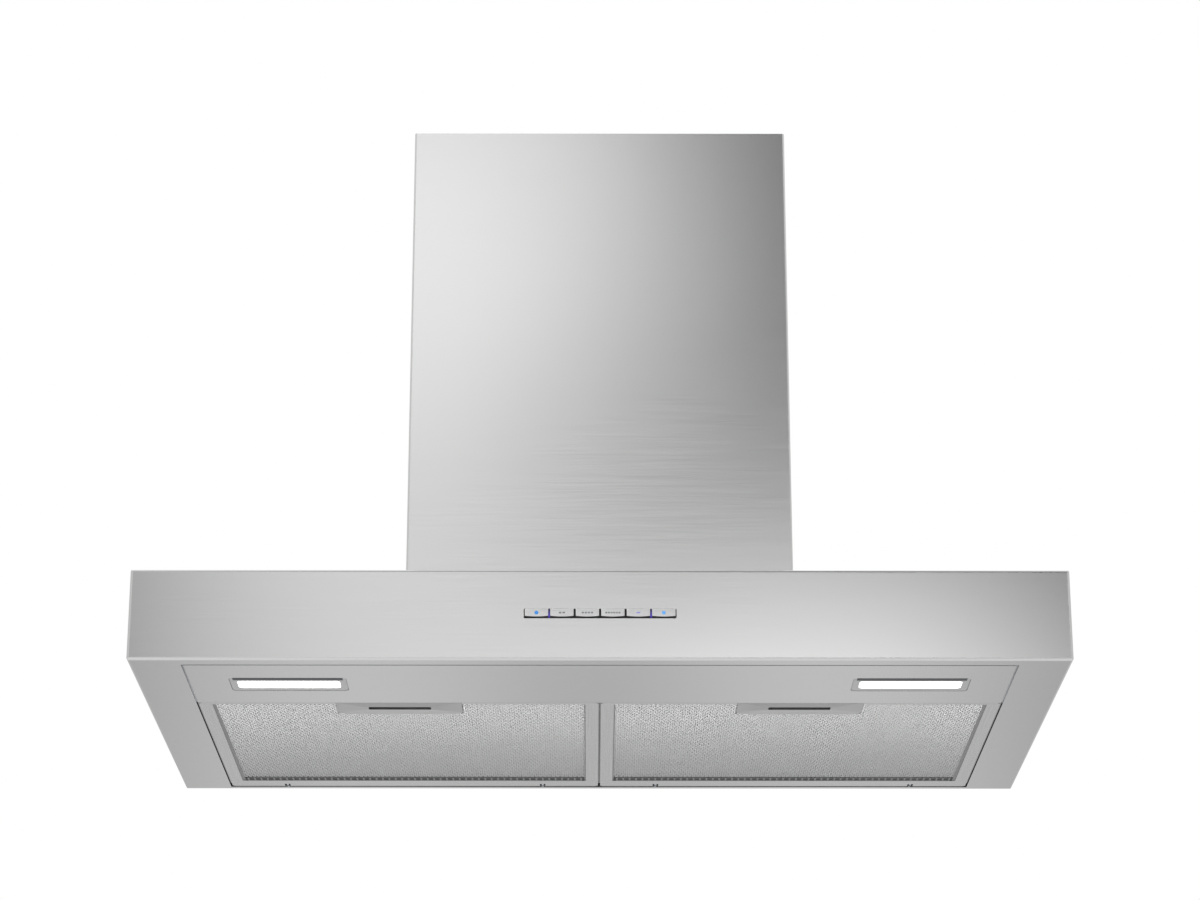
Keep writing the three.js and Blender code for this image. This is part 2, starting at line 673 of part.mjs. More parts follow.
function handlePocket(grow) {
  return box(
    filterX - HANDLE_WIDTH / 2 - grow,
    filterX + HANDLE_WIDTH / 2 + grow,
    filterFront - PAST,
    filterFront + HANDLE_DEPTH + grow,
    -PAST,
    filterTop + PAST,
  );
}

function buildFilterFrame() {
  const shell = filterRectangle(0, 0, filterBottom, filterTop, FILTER_CORNER);
  const channel = filterRectangle(
    FILTER_WALL,
    FILTER_WALL,
    filterBottom + FILTER_WALL,
    filterTop - FILTER_WALL,
    FILTER_CORNER - FILTER_WALL,
  );
  const window = box(
    filterInner + FILTER_SIDE_STRIP,
    filterOuter - FILTER_SIDE_STRIP,
    filterFront + FILTER_FRONT_STRIP,
    filterBack - FILTER_REAR_STRIP,
    -PAST,
    filterTop + PAST,
  );
  const notches = [];
  const lugs = [];
  for (const x of hingeXs) {
    const half = HINGE_NOTCH / 2;
    const outer = half + HINGE_LUG;
    const y0 = filterBack - HINGE_NOTCH_DEPTH;
    lugs.push(box(x - outer, x + outer, y0 + SEAT, filterBack - SEAT, filterBottom + SEAT, filterTop - SEAT));
    notches.push(box(x - half, x + half, y0, filterBack + PAST, -PAST, filterTop + PAST));
  }
  const pin = (x) => rod('x', hingeY, hingeZ, HINGE_PIN_RADIUS, x - HINGE_NOTCH, x + HINGE_NOTCH, SMALL);
  const pins = hingeXs.map(pin);
  const folded = cut(shell, [channel, window, handlePocket(SEAT)]);
  const hinged = cut(join([folded, ...lugs]), notches);
  placePair('filter_frame', join([hinged, ...pins]), 'aluminium');
}

// The wire layers as one crimped sheet whose waves run from front to back.
function crimpedLayer(bottom, top) {
  const count = Math.ceil((filterOuter - filterInner) / CRIMP_PITCH) + 1;
  const height = top - bottom - CRIMP_THICKNESS;
  const ridge = (i) => [filterInner + (i - 1) * CRIMP_PITCH / 2, bottom + (i % 2) * height];
  const shape = new THREE.Shape();
  shape.moveTo(...ridge(0));
  for (let i = 1; i <= count * 2; i += 1) {
    shape.lineTo(...ridge(i));
  }
  for (let i = count * 2; i >= 0; i -= 1) {
    const [x, z] = ridge(i);
    shape.lineTo(x, z + CRIMP_THICKNESS);
  }
  return plate(shape, 'y', filterFront, filterBack);
}

function buildFilterLayers() {
  const inset = FILTER_WALL + SEAT;
  const rear = MESH_REAR_MARGIN;
  const corner = FILTER_CORNER - FILTER_WALL;
  const floor = filterBottom + FILTER_WALL + SEAT;
  const ceiling = filterTop - FILTER_WALL - SEAT;
  const pocket = handlePocket(SEAT);
  const lower = filterRectangle(inset, rear, floor, floor + MESH_THICKNESS, corner);
  const upper = filterRectangle(inset, rear, ceiling - MESH_THICKNESS, ceiling, corner);
  const mediaBottom = floor + MESH_THICKNESS + SEAT;
  const mediaTop = ceiling - MESH_THICKNESS - SEAT;
  const mediaRoom = filterRectangle(inset, rear, mediaBottom, mediaTop, corner);
  const media = mediaRoom.intersect(crimpedLayer(mediaBottom, mediaTop));
  placePair('filter_mesh', cut(lower, [pocket]), 'aluminium');
  placePair('filter_media', cut(media, [pocket]), 'aluminium');
  placePair('filter_backing', cut(upper, [pocket]), 'aluminium');
}

// ---------------------------------------------------------------- filter handles and latches

function latchBottom() {
  return filterBottom + HANDLE_DISH + HANDLE_WALL + SEAT;
}

// A shallow tray, dished from below, with a finger slot; its edges are bevelled and the latch slides in it.
function buildFilterHandle() {
  const x0 = filterX - HANDLE_WIDTH / 2;
  const x1 = filterX + HANDLE_WIDTH / 2;
  const y1 = filterFront + HANDLE_DEPTH;
  const height = FILTER_HEIGHT - HANDLE_WALL;
  const bevel = HANDLE_BEVEL;
  const section = new THREE.Shape();
  section.moveTo(x0 + bevel, filterBottom);
  section.lineTo(x1 - bevel, filterBottom);
  section.lineTo(x1, filterBottom + bevel);
  section.lineTo(x1, filterBottom + height);
  section.lineTo(x0, filterBottom + height);
  section.lineTo(x0, filterBottom + bevel);
  const tray = plate(section, 'y', filterFront, y1);
  const room = box(
    x0 + HANDLE_WALL,
    x1 - HANDLE_WALL,
    filterFront + HANDLE_WALL,
    y1 - HANDLE_WALL,
    filterBottom + HANDLE_DISH + HANDLE_WALL,
    filterTop + PAST,
  );
  const dishShape = roundedRectangle(
    x0 + HANDLE_WALL,
    x1 - HANDLE_WALL,
    filterFront + HANDLE_WALL,
    y1 - HANDLE_WALL,
    HANDLE_DISH_CORNER,
  );
  const dish = plate(dishShape, 'z', -PAST, filterBottom + HANDLE_DISH);
  const slotFront = filterFront + FINGER_SLOT_FROM_FRONT;
  const slotShape = roundedRectangle(
    filterX - FINGER_SLOT_WIDTH / 2,
    filterX + FINGER_SLOT_WIDTH / 2,
    slotFront,
    slotFront + FINGER_SLOT_DEPTH,
    1.5,
  );
  const slot = plate(slotShape, 'z', -PAST, filterTop);
  const tongueHole = box(
    filterX - TONGUE_WIDTH / 2 - SEAT,
    filterX + TONGUE_WIDTH / 2 + SEAT,
    filterFront - PAST,
    filterFront + PAST,
    latchBottom() + LATCH_THICKNESS / 2 - TONGUE_THICKNESS / 2 - SEAT,
    latchBottom() + LATCH_THICKNESS / 2 + TONGUE_THICKNESS / 2 + SEAT,
  );
  placePair('filter_handle', cut(tray, [room, dish, slot, tongueHole]), 'aluminium');
}

// A slider with a tongue in front, a finger lip in the slot and a moulded spring arm at each side.
function buildFilterLatch() {
  const z0 = latchBottom();
  const z1 = z0 + LATCH_THICKNESS;
  const middle = (z0 + z1) / 2;
  const front = filterFront + HANDLE_WALL + SEAT;
  const slotFront = filterFront + FINGER_SLOT_FROM_FRONT;
  const back = slotFront + LATCH_LIP;
  const rear = filterFront + HANDLE_DEPTH - HANDLE_WALL - LATCH_TRAVEL - SEAT;
  const half = FINGER_SLOT_WIDTH / 2;
  const armHalf = half + LATCH_ARM + 2;
  const tongueHalf = TONGUE_WIDTH / 2;
  const bar = box(filterX - armHalf, filterX + armHalf, front, back, z0, z1);
  const tongue = box(
    filterX - tongueHalf,
    filterX + tongueHalf,
    panelBack - SHEET - TONGUE_REACH,
    front + SEAT,
    middle - TONGUE_THICKNESS / 2,
    middle + TONGUE_THICKNESS / 2,
  );
  const lip = box(
    filterX - half + 2,
    filterX + half - 2,
    slotFront + SEAT,
    back,
    filterBottom + HANDLE_DISH + SEAT,
    z0 + SEAT,
  );
  const arms = [];
  for (const side of [-1, 1]) {
    const inner = filterX + side * (half + 2);
    const outer = filterX + side * armHalf;
    const left = Math.min(inner, outer);
    const right = Math.max(inner, outer);
    const arm = new THREE.Shape();
    arm.moveTo(left, front);
    arm.lineTo(right, front);
    arm.quadraticCurveTo(right + side * 5, (front + rear) / 2, right, rear);
    arm.lineTo(right - 1.6, rear);
    arm.quadraticCurveTo(right - 1.6 + side * 5, (front + rear) / 2, left, back);
    arms.push(plate(arm, 'z', z0, z1, BEND_STEPS * 2));
  }
  placePair('filter_latch', join([bar, tongue, lip, ...arms]), 'greyPlastic');
}

// ---------------------------------------------------------------- push buttons

const buttonBack = insideFront + SEAT + BUTTON_FLANGE_THICKNESS;
const stemEnd = buttonBack + BUTTON_STEM_LENGTH;
const boardFront = stemEnd + BUTTON_TRAVEL + SEAT + SWITCH_HEIGHT;

function buttonX(index) {
  return (index - (BUTTON_COUNT - 1) / 2) * BUTTON_PITCH;
}

function buildButtons() {
  const halfWidth = (BUTTON_PITCH - BUTTON_GAP) / 2;
  const halfHeight = BUTTON_HEIGHT / 2;
  const flangeHalf = halfHeight + BUTTON_FLANGE;
  const z = BUTTON_CENTRE_HEIGHT;
  const faceY = frontY - BUTTON_PROUD;
  for (let i = 0; i < BUTTON_COUNT; i += 1) {
    const x = buttonX(i);
    const u = halfWidth - 0.5;
    const v = halfHeight - 0.5;
    const outline = roundedRectangle(-u, u, -v, v, 0.5);
    const cap = new THREE.ExtrudeGeometry(outline, {
      depth: BUTTON_PROUD + SHEET + SEAT - BUTTON_BEVEL * 2 + BUTTON_FLANGE_THICKNESS / 2,
      bevelEnabled: true,
      bevelThickness: BUTTON_BEVEL,
      bevelSize: BUTTON_BEVEL,
      bevelSegments: 1,
      curveSegments: 1,
    });
    cap.applyMatrix4(AXES.y);
    cap.translate(x, buttonBack - BUTTON_FLANGE_THICKNESS / 2 - BUTTON_BEVEL, z);
    const flange = box(
      x - halfWidth,
      x + halfWidth,
      buttonBack - BUTTON_FLANGE_THICKNESS,
      buttonBack,
      z - flangeHalf,
      z + flangeHalf,
    );
    const half = BUTTON_STEM / 2;
    const stem = box(x - half, x + half, buttonBack - SEAT, stemEnd, z - half, z + half);
    const body = join([solidOf(cap), flange, stem]);
    const front = box(x - BUTTON_PITCH, x + BUTTON_PITCH, faceY, stemEnd + PAST, 0, CANOPY_HEIGHT);
    place(`button_${i + 1}`, body.intersect(front), 'silverPlastic');
  }
}

function buildKeypad() {
  const z = BUTTON_CENTRE_HEIGHT;
  const roomHalf = keypadHalf + SEAT;
  const roomHeight = BUTTON_HEIGHT / 2 + BUTTON_FLANGE + SEAT;
  const wall = KEYPAD_FRAME_WALL;
  const y0 = insideFront + SEAT;
  const y1 = boardFront - SEAT;
  const outer = roomHeight + wall;
  const shell = box(-roomHalf - wall, roomHalf + wall, y0, y1, z - outer, z + outer);
  const end = roomHalf + KEYPAD_END;
  const ears = box(-end, end, y0, y0 + wall, z - outer, z + outer);
  const room = box(-roomHalf, roomHalf, y0 - PAST, y1 + PAST, z - roomHeight, z + roomHeight);
  const holeX = roomHalf + (KEYPAD_END + wall) / 2;
  const hole = rod('y', holeX, z, KEYPAD_SCREW_RADIUS, y0 - PAST, y0 + wall + PAST, SMALL);
  place('keypad_frame', cut(shell.add(ears), [room, hole, mirrored(hole)]), 'blackPlastic');

  const board = box(-roomHalf, roomHalf, boardFront, boardFront + BOARD, z - outer, z + outer);
  const switches = [];
  for (let i = 0; i < BUTTON_COUNT; i += 1) {
    const half = BUTTON_STEM / 2 + 1;
    const x = buttonX(i);
    switches.push(box(x - half, x + half, boardFront - SWITCH_HEIGHT, boardFront + SEAT, z - half, z + half));
  }
  place('keypad_board', join([board, ...switches]), 'circuitBoard');
}

// ---------------------------------------------------------------- chimney covers

// A sheet folded to a U in plan, with a return along each rear edge.
function coverSolid(half, front, back, bottom, top) {
  const outside = plate(roundedRectangle(-half, half, front, back, CHIMNEY_BEND), 'z', bottom, top);
  const insideShape = roundedRectangle(
    -half + SHEET,
    half - SHEET,
    front + SHEET,
    back - SHEET,
    CHIMNEY_BEND - SHEET,
  );
  const inside = plate(insideShape, 'z', bottom - PAST, top + PAST);
  const mouth = half - COVER_RETURN;
  const rear = box(-mouth, mouth, back - SHEET - PAST, back + PAST, bottom - PAST, top + PAST);
  return cut(outside, [inside, rear]);
}

function buildChimney() {
  const lower = coverSolid(coverHalf, coverFront, wallY, coverBottom, coverTop);
  place('chimney_lower_cover', lower, 'stainless');

  const upper = coverSolid(upperHalf, upperFront, upperBack, upperBottom, upperTop);
  const middle = (upperFront + upperBack) / 2;
  const vents = [];
  for (let i = 0; i < VENT_COUNT; i += 1) {
    const z0 = upperTop - VENT_FROM_TOP - VENT_HEIGHT - i * VENT_PITCH;
    const shape = roundedRectangle(
      middle - VENT_LENGTH / 2,
      middle + VENT_LENGTH / 2,
      z0,
      z0 + VENT_HEIGHT,
      VENT_HEIGHT / 3,
    );
    const vent = plate(shape, 'x', upperHalf - PAST, upperHalf + PAST, 1);
    vents.push(vent, mirrored(vent));
  }
  place('chimney_upper_cover', cut(upper, vents), 'stainless');
}

// The ceiling bracket lies on the wall between the covers' rear folds and steps forward inside them.
function buildChimneyBrackets() {
  const thick = CEILING_BRACKET_THICKNESS;
  const half = upperHalf - SHEET - SEAT;
  const middle = upperHalf - COVER_RETURN - CEILING_BRACKET_PLAY;
  const back = upperBack - SHEET - SEAT;
  const top = upperTop - CEILING_BRACKET_FROM_TOP;
  const bottom = top - CEILING_BRACKET_HEIGHT;
  const web = box(-middle, middle, wallY - thick, wallY, bottom, top);
  const step = box(middle - thick, middle, back - thick, wallY, bottom, top);
  const wing = box(middle - thick, half, back - thick, back, bottom, top);
  const ear = box(half - thick, half, back - CEILING_BRACKET_REACH, back, bottom, top);
  const arm = join([step, wing, ear]);
  const slotX = half * 0.6;
  const slotZ = (bottom + top) / 2;
  const slotShape = roundedRectangle(slotX - 12, slotX + 12, slotZ - 3.5, slotZ + 3.5, 3);
  const slot = plate(slotShape, 'y', wallY - thick - PAST, wallY + PAST);
  const holeY = back - CEILING_BRACKET_REACH / 2;
  const earHole = rod('x', holeY, slotZ, 2.2, half - thick - PAST, half + PAST, SMALL);
  const bracket = join([web, arm, mirrored(arm)]);
  const holes = [slot, mirrored(slot), earHole, mirrored(earHole)];
  place('ceiling_bracket', cut(bracket, holes), 'galvanised');

  const x1 = coverHalf - SHEET - SEAT;
  const t = COVER_BRACKET_THICKNESS;
  const y0 = coverFront + COVER_BRACKET_FROM_FRONT;
  const y1 = y0 + COVER_BRACKET_LENGTH;
  const z0 = canopyTop + SEAT;
  const upright = box(x1 - t, x1, y0, y1, z0, z0 + COVER_BRACKET_HEIGHT);
  const foot = box(x1 - COVER_BRACKET_FOOT, x1, y0, y1, z0, z0 + t);
  const footHole = rod('z', x1 - COVER_BRACKET_FOOT / 2, (y0 + y1) / 2, 2.2, z0 - PAST, z0 + t + PAST, SMALL);
  const screwZ = z0 + COVER_BRACKET_HEIGHT * 0.6;
  const screwHole = rod('x', (y0 + y1) / 2, screwZ, 1.8, x1 - t - PAST, x1 + PAST, SMALL);
  placePair('cover_bracket', cut(upright.add(foot), [footHole, screwHole]), 'galvanised');
}

// ---------------------------------------------------------------- blower box and scroll

function buildBlowerBox() {
  const inner = SHEET;
  const shell = plate(roundedRectangle(-boxHalf, boxHalf, boxFront, boxBack, 3), 'z', boxBottom, boxTop);
  const roomShape = roundedRectangle(-boxHalf + inner, boxHalf - inner, boxFront + inner, boxBack - inner, 2);
  const room = plate(roomShape, 'z', boxBottom - PAST, boxTop - SHEET);
  const flange = box(
    -boxHalf - BOX_FLANGE,
    boxHalf + BOX_FLANGE,
    boxFront - BOX_FLANGE,
    boxBack + BOX_FLANGE,
    boxBottom,
    boxBottom + SHEET,
  );
  const ribs = [];
  for (let i = 0; i < BOX_RIB_COUNT; i += 1) {
    const z0 = boxBottom + BOX_HEIGHT * (i + 1) / (BOX_RIB_COUNT + 1);
    const across = boxHalf * 0.8;
    const shape = roundedRectangle(-across, across, z0, z0 + BOX_RIB_WIDTH, BOX_RIB_WIDTH / 2 - SEAT);
    ribs.push(plate(shape, 'y', boxBack - SHEET / 2, boxBack + BOX_RIB_DEPTH));
  }
  const outlet = rod('z', 0, ductY, collarBore, boxTop - PAST, boxTop + PAST, FINE);
  place('blower_box', cut(join([shell, flange, ...ribs]), [room, outlet]), 'galvanised');
}

// The volute's outline in (y, z): a spiral that opens steadily from the tongue to the outlet's front wall.
function volute(inset, top) {
  const shape = new THREE.Shape();
  shape.moveTo(outletFront + inset, top);
  for (let i = 0; i <= SCROLL_STEPS; i += 1) {
    const angle = Math.PI + (i / SCROLL_STEPS) * (tongueAngle - Math.PI);
    const radius = voluteRadius(angle) - inset;
    shape.lineTo(axisY + radius * Math.cos(angle), axisZ + radius * Math.sin(angle));
  }
  const backWall = outletBack - inset;
  shape.lineTo(backWall, axisZ + scrollSmall * Math.sin(tongueAngle));
  shape.lineTo(backWall, top);
  return shape;
}

function buildScroll() {
  const top = boxTop - SHEET - SEAT;
  const side = SCROLL_HALF_WIDTH;
  const wall = SCROLL_WALL;
  const body = plate(volute(0, top), 'x', SCROLL_SPLIT, side);
  const room = plate(volute(wall, top + PAST), 'x', SCROLL_SPLIT - PAST, side - wall);
  const flange = box(
    SCROLL_SPLIT,
    side + SCROLL_FLANGE,
    outletFront - SCROLL_FLANGE,
    outletBack + SCROLL_FLANGE,
    top - wall,
    top,
  );
  const mouth = box(
    SCROLL_SPLIT - PAST,
    side - wall,
    outletFront + wall,
    outletBack - wall,
    top - wall - PAST,
    top + PAST,
  );
  const inlet = rod('x', axisY, axisZ, inletRadius, side - wall - PAST, side + PAST, FINE);
  const lip = turned('x', axisY, axisZ, [
    [inletRadius, side - wall - INLET_LIP],
    [inletRadius + wall * 0.7, side - wall - INLET_LIP],
    [inletRadius + wall * 1.6, side],
    [inletRadius, side],
  ]);
  const half = join([cut(join([body, flange]), [room, mouth, inlet]), lip]);
  placePair('scroll', half, 'blackPlastic');
}

// ---------------------------------------------------------------- impeller, shaft and motor

// One cupped blade in the (y, z) plane about the axis: an arc of even thickness that leads at its outer edge.
function bladeShape(turn) {
  const inner = IMPELLER_RADIUS - BLADE_DEPTH;
  const ahead = [];
  const behind = [];
  for (let i = 0; i <= BLADE_STEPS; i += 1) {
    const share = i / BLADE_STEPS;
    const radius = inner + share * (BLADE_DEPTH - SEAT);
    const sag = BLADE_CURVE * 4 * share * (1 - share);
    const angle = turn + BLADE_LEAN * share - sag / radius;
    const half = BLADE_THICKNESS / 2 / radius;
    ahead.push([radius * Math.cos(angle + half), radius * Math.sin(angle + half)]);
    behind.unshift([radius * Math.cos(angle - half), radius * Math.sin(angle - half)]);
  }
  const shape = new THREE.Shape();
  const corners = [...behind.reverse(), ...ahead.reverse()];
  corners.forEach(([y, z], index) => {
    if (index === 0) {
      shape.moveTo(axisY + y, axisZ + z);
    } else {
      shape.lineTo(axisY + y, axisZ + z);
    }
  });
  return shape;
}

function buildImpeller() {
  const half = IMPELLER_HALF_WIDTH;
  const outer = IMPELLER_RADIUS;
  const inner = outer - BLADE_DEPTH;
  const ring = (x0, x1) => turned('x', axisY, axisZ, [
    [inner - SEAT, x0],
    [outer, x0],
    [outer, x1],
    [inner - SEAT, x1],
  ]);
  const disc = rod('x', axisY, axisZ, outer, -IMPELLER_DISC / 2, IMPELLER_DISC / 2, FINE);
  const hub = rod('x', axisY, axisZ, HUB_RADIUS, -HUB_HALF_LENGTH, HUB_HALF_LENGTH, ROUND);
  const bore = rod('x', axisY, axisZ, SHAFT_RADIUS + SEAT, -half, half, ROUND);
  const blades = [];
  for (let i = 0; i < BLADE_COUNT; i += 1) {
    blades.push(plate(bladeShape((i / BLADE_COUNT) * Math.PI * 2), 'x', -half + SEAT, half - SEAT));
  }
  const rings = [ring(-half, -half + IMPELLER_RING), ring(half - IMPELLER_RING, half)];
  place('impeller', cut(join([disc, hub, ...rings, ...blades]), [bore]), 'greyPlastic');

  const shaftEnd = MOTOR_START + MOTOR_LENGTH + MOTOR_BOSS_LENGTH - SEAT;
  const shaft = rod('x', axisY, axisZ, SHAFT_RADIUS, -HUB_HALF_LENGTH - 2, shaftEnd, ROUND);
  place('motor_shaft', shaft, 'zincSteel');
}

function buildMotor() {
  const x0 = MOTOR_START;
  const x1 = x0 + MOTOR_LENGTH;
  const x2 = x1 + MOTOR_BOSS_LENGTH;
  const edge = MOTOR_EDGE;
  const bore = SHAFT_RADIUS + SEAT;
  const body = turned('x', axisY, axisZ, [
    [bore, x0],
    [MOTOR_RADIUS - edge, x0],
    [MOTOR_RADIUS, x0 + edge],
    [MOTOR_RADIUS, x1 - edge],
    [MOTOR_RADIUS - edge, x1],
    [MOTOR_BOSS_RADIUS, x1],
    [MOTOR_BOSS_RADIUS, x2],
    [bore, x2],
  ], ROUND);
  place('motor', body, 'zincSteel');

  const side = SCROLL_HALF_WIDTH + SEAT;
  const outside = side + MOTOR_ARM_THICKNESS;
  const plateStart = x2 + SEAT;
  const cup = rod('x', axisY, axisZ, MOTOR_BOSS_RADIUS + 4, plateStart, outside, ROUND);
  const arms = [];
  for (let i = 0; i < MOTOR_ARM_COUNT; i += 1) {
    const angle = Math.PI / 2 + (i / MOTOR_ARM_COUNT) * Math.PI * 2;
    const reach = inletRadius + MOTOR_ARM_REACH;
    const geometry = new THREE.BoxGeometry(MOTOR_ARM_THICKNESS, reach, MOTOR_ARM_WIDTH);
    geometry.translate(0, reach / 2, 0);
    geometry.rotateX(angle);
    geometry.translate((side + outside) / 2, axisY, axisZ);
    arms.push(solidOf(geometry));
  }
  place('motor_bracket', join([cup, ...arms]), 'galvanised');
}

// ---------------------------------------------------------------- duct collar and backdraft flaps

function buildCollar() {
  const z0 = collarBottom;
  const z1 = z0 + COLLAR_HEIGHT;
  const base = z0 + COLLAR_FLANGE_THICKNESS;
  const beadZ = z0 + COLLAR_HEIGHT / 2;
  const tube = turned('z', 0, ductY, [
    [collarBore, z0],
    [collarRadius + COLLAR_FLANGE, z0],
    [collarRadius + COLLAR_FLANGE, base],
    [collarRadius, base],
    [collarRadius, beadZ - COLLAR_BEAD],
    [collarRadius + COLLAR_BEAD, beadZ],
    [collarRadius, beadZ + COLLAR_BEAD],
    [collarRadius, z1 - 1],
    [collarRadius - 1, z1],
    [collarBore, z1],
  ]);
  const seatRing = turned('z', 0, ductY, [
    [collarBore - FLAP_SEAT_WIDTH, flapSeatZ - 1],
    [collarBore + COLLAR_WALL / 2, flapSeatZ - FLAP_SEAT_WIDTH - 1],
    [collarBore + COLLAR_WALL / 2, flapSeatZ],
    [collarBore - FLAP_SEAT_WIDTH, flapSeatZ],
  ]);
  const hubInner = collarBore - FLAP_HUB_WIDTH;
  const hubHalf = FLAP_KNUCKLE_RADIUS + 0.8;
  const hub = box(
    hubInner,
    collarBore + COLLAR_WALL / 2,
    ductY - hubHalf,
    ductY + hubHalf,
    flapSeatZ - 1,
    flapPinZ + hubHalf,
  );
  const hole = rod('x', ductY, flapPinZ, FLAP_PIN_RADIUS + SEAT, -collarBore, collarBore, SMALL);
  const body = cut(join([tube, seatRing, hub, mirrored(hub)]), [hole]);
  place('outlet_collar', body, 'blackPlastic');

  const pinEnd = collarBore - SEAT;
  place('flap_pin', rod('x', ductY, flapPinZ, FLAP_PIN_RADIUS, -pinEnd, pinEnd, SMALL), 'zincSteel');
}

// A half disc with every second knuckle of the hinge line; side is -1 in front of the pin and 1 behind it.
function flapSolid(side) {
  const radius = collarBore - FLAP_PLAY;
  const room = collarBore - FLAP_HUB_WIDTH - FLAP_KNUCKLE_GAP;
  const inner = FLAP_KNUCKLE_RADIUS + 1.2;
  const top = flapBottom + FLAP_THICKNESS;
  const disc = rod('z', 0, ductY, radius, flapBottom, top, FINE);
  const keep = side < 0
    ? box(-radius, radius, ductY - radius - PAST, ductY - inner, flapBottom - PAST, top + PAST)
    : box(-radius, radius, ductY + inner, ductY + radius + PAST, flapBottom - PAST, top + PAST);
  const pieces = [disc.intersect(keep)];
  const pitch = (room * 2) / FLAP_KNUCKLE_COUNT;
  const first = side < 0 ? 0 : 1;
  for (let i = first; i < FLAP_KNUCKLE_COUNT; i += 2) {
    const x0 = -room + i * pitch + FLAP_KNUCKLE_GAP / 2;
    const x1 = x0 + pitch - FLAP_KNUCKLE_GAP;
    const near = Math.min(ductY, ductY + side * (inner + 1));
    const far = Math.max(ductY, ductY + side * (inner + 1));
    pieces.push(rod('x', ductY, flapPinZ, FLAP_KNUCKLE_RADIUS, x0, x1, SMALL));
    pieces.push(box(x0, x1, near, far, flapBottom, top));
  }
  const bore = rod('x', ductY, flapPinZ, FLAP_PIN_RADIUS + SEAT, -radius, radius, SMALL);
  const relief = box(
    room,
    radius + PAST,
    ductY - FLAP_HUB_RELIEF,
    ductY + FLAP_HUB_RELIEF,
    flapBottom - PAST,
    top + PAST,
  );
  return cut(join(pieces), [bore, relief, mirrored(relief)]);
}

function buildFlaps() {
  place('flap_front', flapSolid(-1), 'greyPlastic');
  place('flap_rear', flapSolid(1), 'greyPlastic');
}

// ---------------------------------------------------------------- electrical pieces

function buildControls() {
  const x1 = -airHalf - CONTROL_FROM_AIR_OPENING;
  const x0 = x1 - CONTROL_WIDTH;
  const y1 = insideBack - CONTROL_FROM_BACK;
  const y0 = y1 - CONTROL_DEPTH;
  const z1 = insideTop - SEAT;
  const z0 = z1 - CONTROL_HEIGHT;
  const wall = CONTROL_WALL;
  const lidTop = z0 + wall;
  const caseBottom = lidTop + SEAT;
  const shell = box(x0, x1, y0, y1, caseBottom, z1);
  const room = box(x0 + wall, x1 - wall, y0 + wall, y1 - wall, caseBottom - PAST, z1 - wall);
  const earHalf = 9;
  const middle = (y0 + y1) / 2;
  const ears = box(x0 - 12, x1 + 12, middle - earHalf, middle + earHalf, z1 - wall, z1);
  const standoffBottom = z1 - wall - 6;
  const standoffs = [];
  for (const [i, j] of [[x0 + 10, y0 + 10], [x1 - 10, y0 + 10], [x0 + 10, y1 - 10], [x1 - 10, y1 - 10]]) {
    standoffs.push(rod('z', i, j, 3, standoffBottom, z1 - SEAT, SMALL));
  }
  const holes = [rod('z', x0 - 6, middle, 2, z1 - PAST, z1 + PAST, SMALL)];
  holes.push(rod('z', x1 + 6, middle, 2, z1 - PAST, z1 + PAST, SMALL));
  holes.push(rod('y', x0 + 30, (z0 + z1) / 2, 5, y0 - PAST, y0 + PAST, SMALL));
  const body = join([cut(shell.add(ears), [room, ...holes]), ...standoffs]);
  place('control_box', body, 'blackPlastic');
  const lidShape = roundedRectangle(x0, x1, y0, y1, 3);
  place('control_box_lid', plate(lidShape, 'z', z0, lidTop), 'blackPlastic');

  const boardTop = standoffBottom - SEAT;
  const board = box(x0 + wall + 1, x1 - wall - 1, y0 + wall + 1, y1 - wall - 1, boardTop - BOARD, boardTop);
  const relays = [];
  for (let i = 0; i < RELAY_COUNT; i += 1) {
    const x = x0 + 20 + i * RELAY_SIZE * 1.6;
    const y = y0 + 20;
    const relayTop = boardTop - SEAT;
    relays.push(box(x, x + RELAY_SIZE, y, y + RELAY_SIZE * 1.3, boardTop - RELAY_SIZE, relayTop));
  }
  const transformer = box(x1 - 52, x1 - 14, y0 + 24, y1 - 24, boardTop - 20, boardTop - SEAT);
  place('control_board', join([board, ...relays, transformer]), 'circuitBoard');
}

function buildLampDriver() {
  const x0 = airHalf + CONTROL_FROM_AIR_OPENING;
  const x1 = x0 + DRIVER_WIDTH;
  const y1 = insideBack - CONTROL_FROM_BACK;
  const y0 = y1 - DRIVER_DEPTH;
  const z1 = insideTop - SEAT;
  const z0 = z1 - DRIVER_HEIGHT;
  const body = box(x0, x1, y0, y1, z0, z1);
  const middle = (y0 + y1) / 2;
  const ears = box(x0 - 12, x1 + 12, middle - 8, middle + 8, z1 - 2, z1);
  const holes = [rod('z', x0 - 6, middle, 2, z1 - PAST, z1 + PAST, SMALL)];
  holes.push(rod('z', x1 + 6, middle, 2, z1 - PAST, z1 + PAST, SMALL));
  const pitch = DRIVER_WIDTH / DRIVER_FIN_COUNT;
  for (let i = 0; i < DRIVER_FIN_COUNT; i += 1) {
    const x = x0 + (i + 0.3) * pitch;
    holes.push(box(x, x + pitch * 0.4, y0 - PAST, y1 + PAST, z0 - PAST, z0 + 3));
  }
  place('lamp_driver', cut(body.add(ears), holes), 'whitePlastic');
}

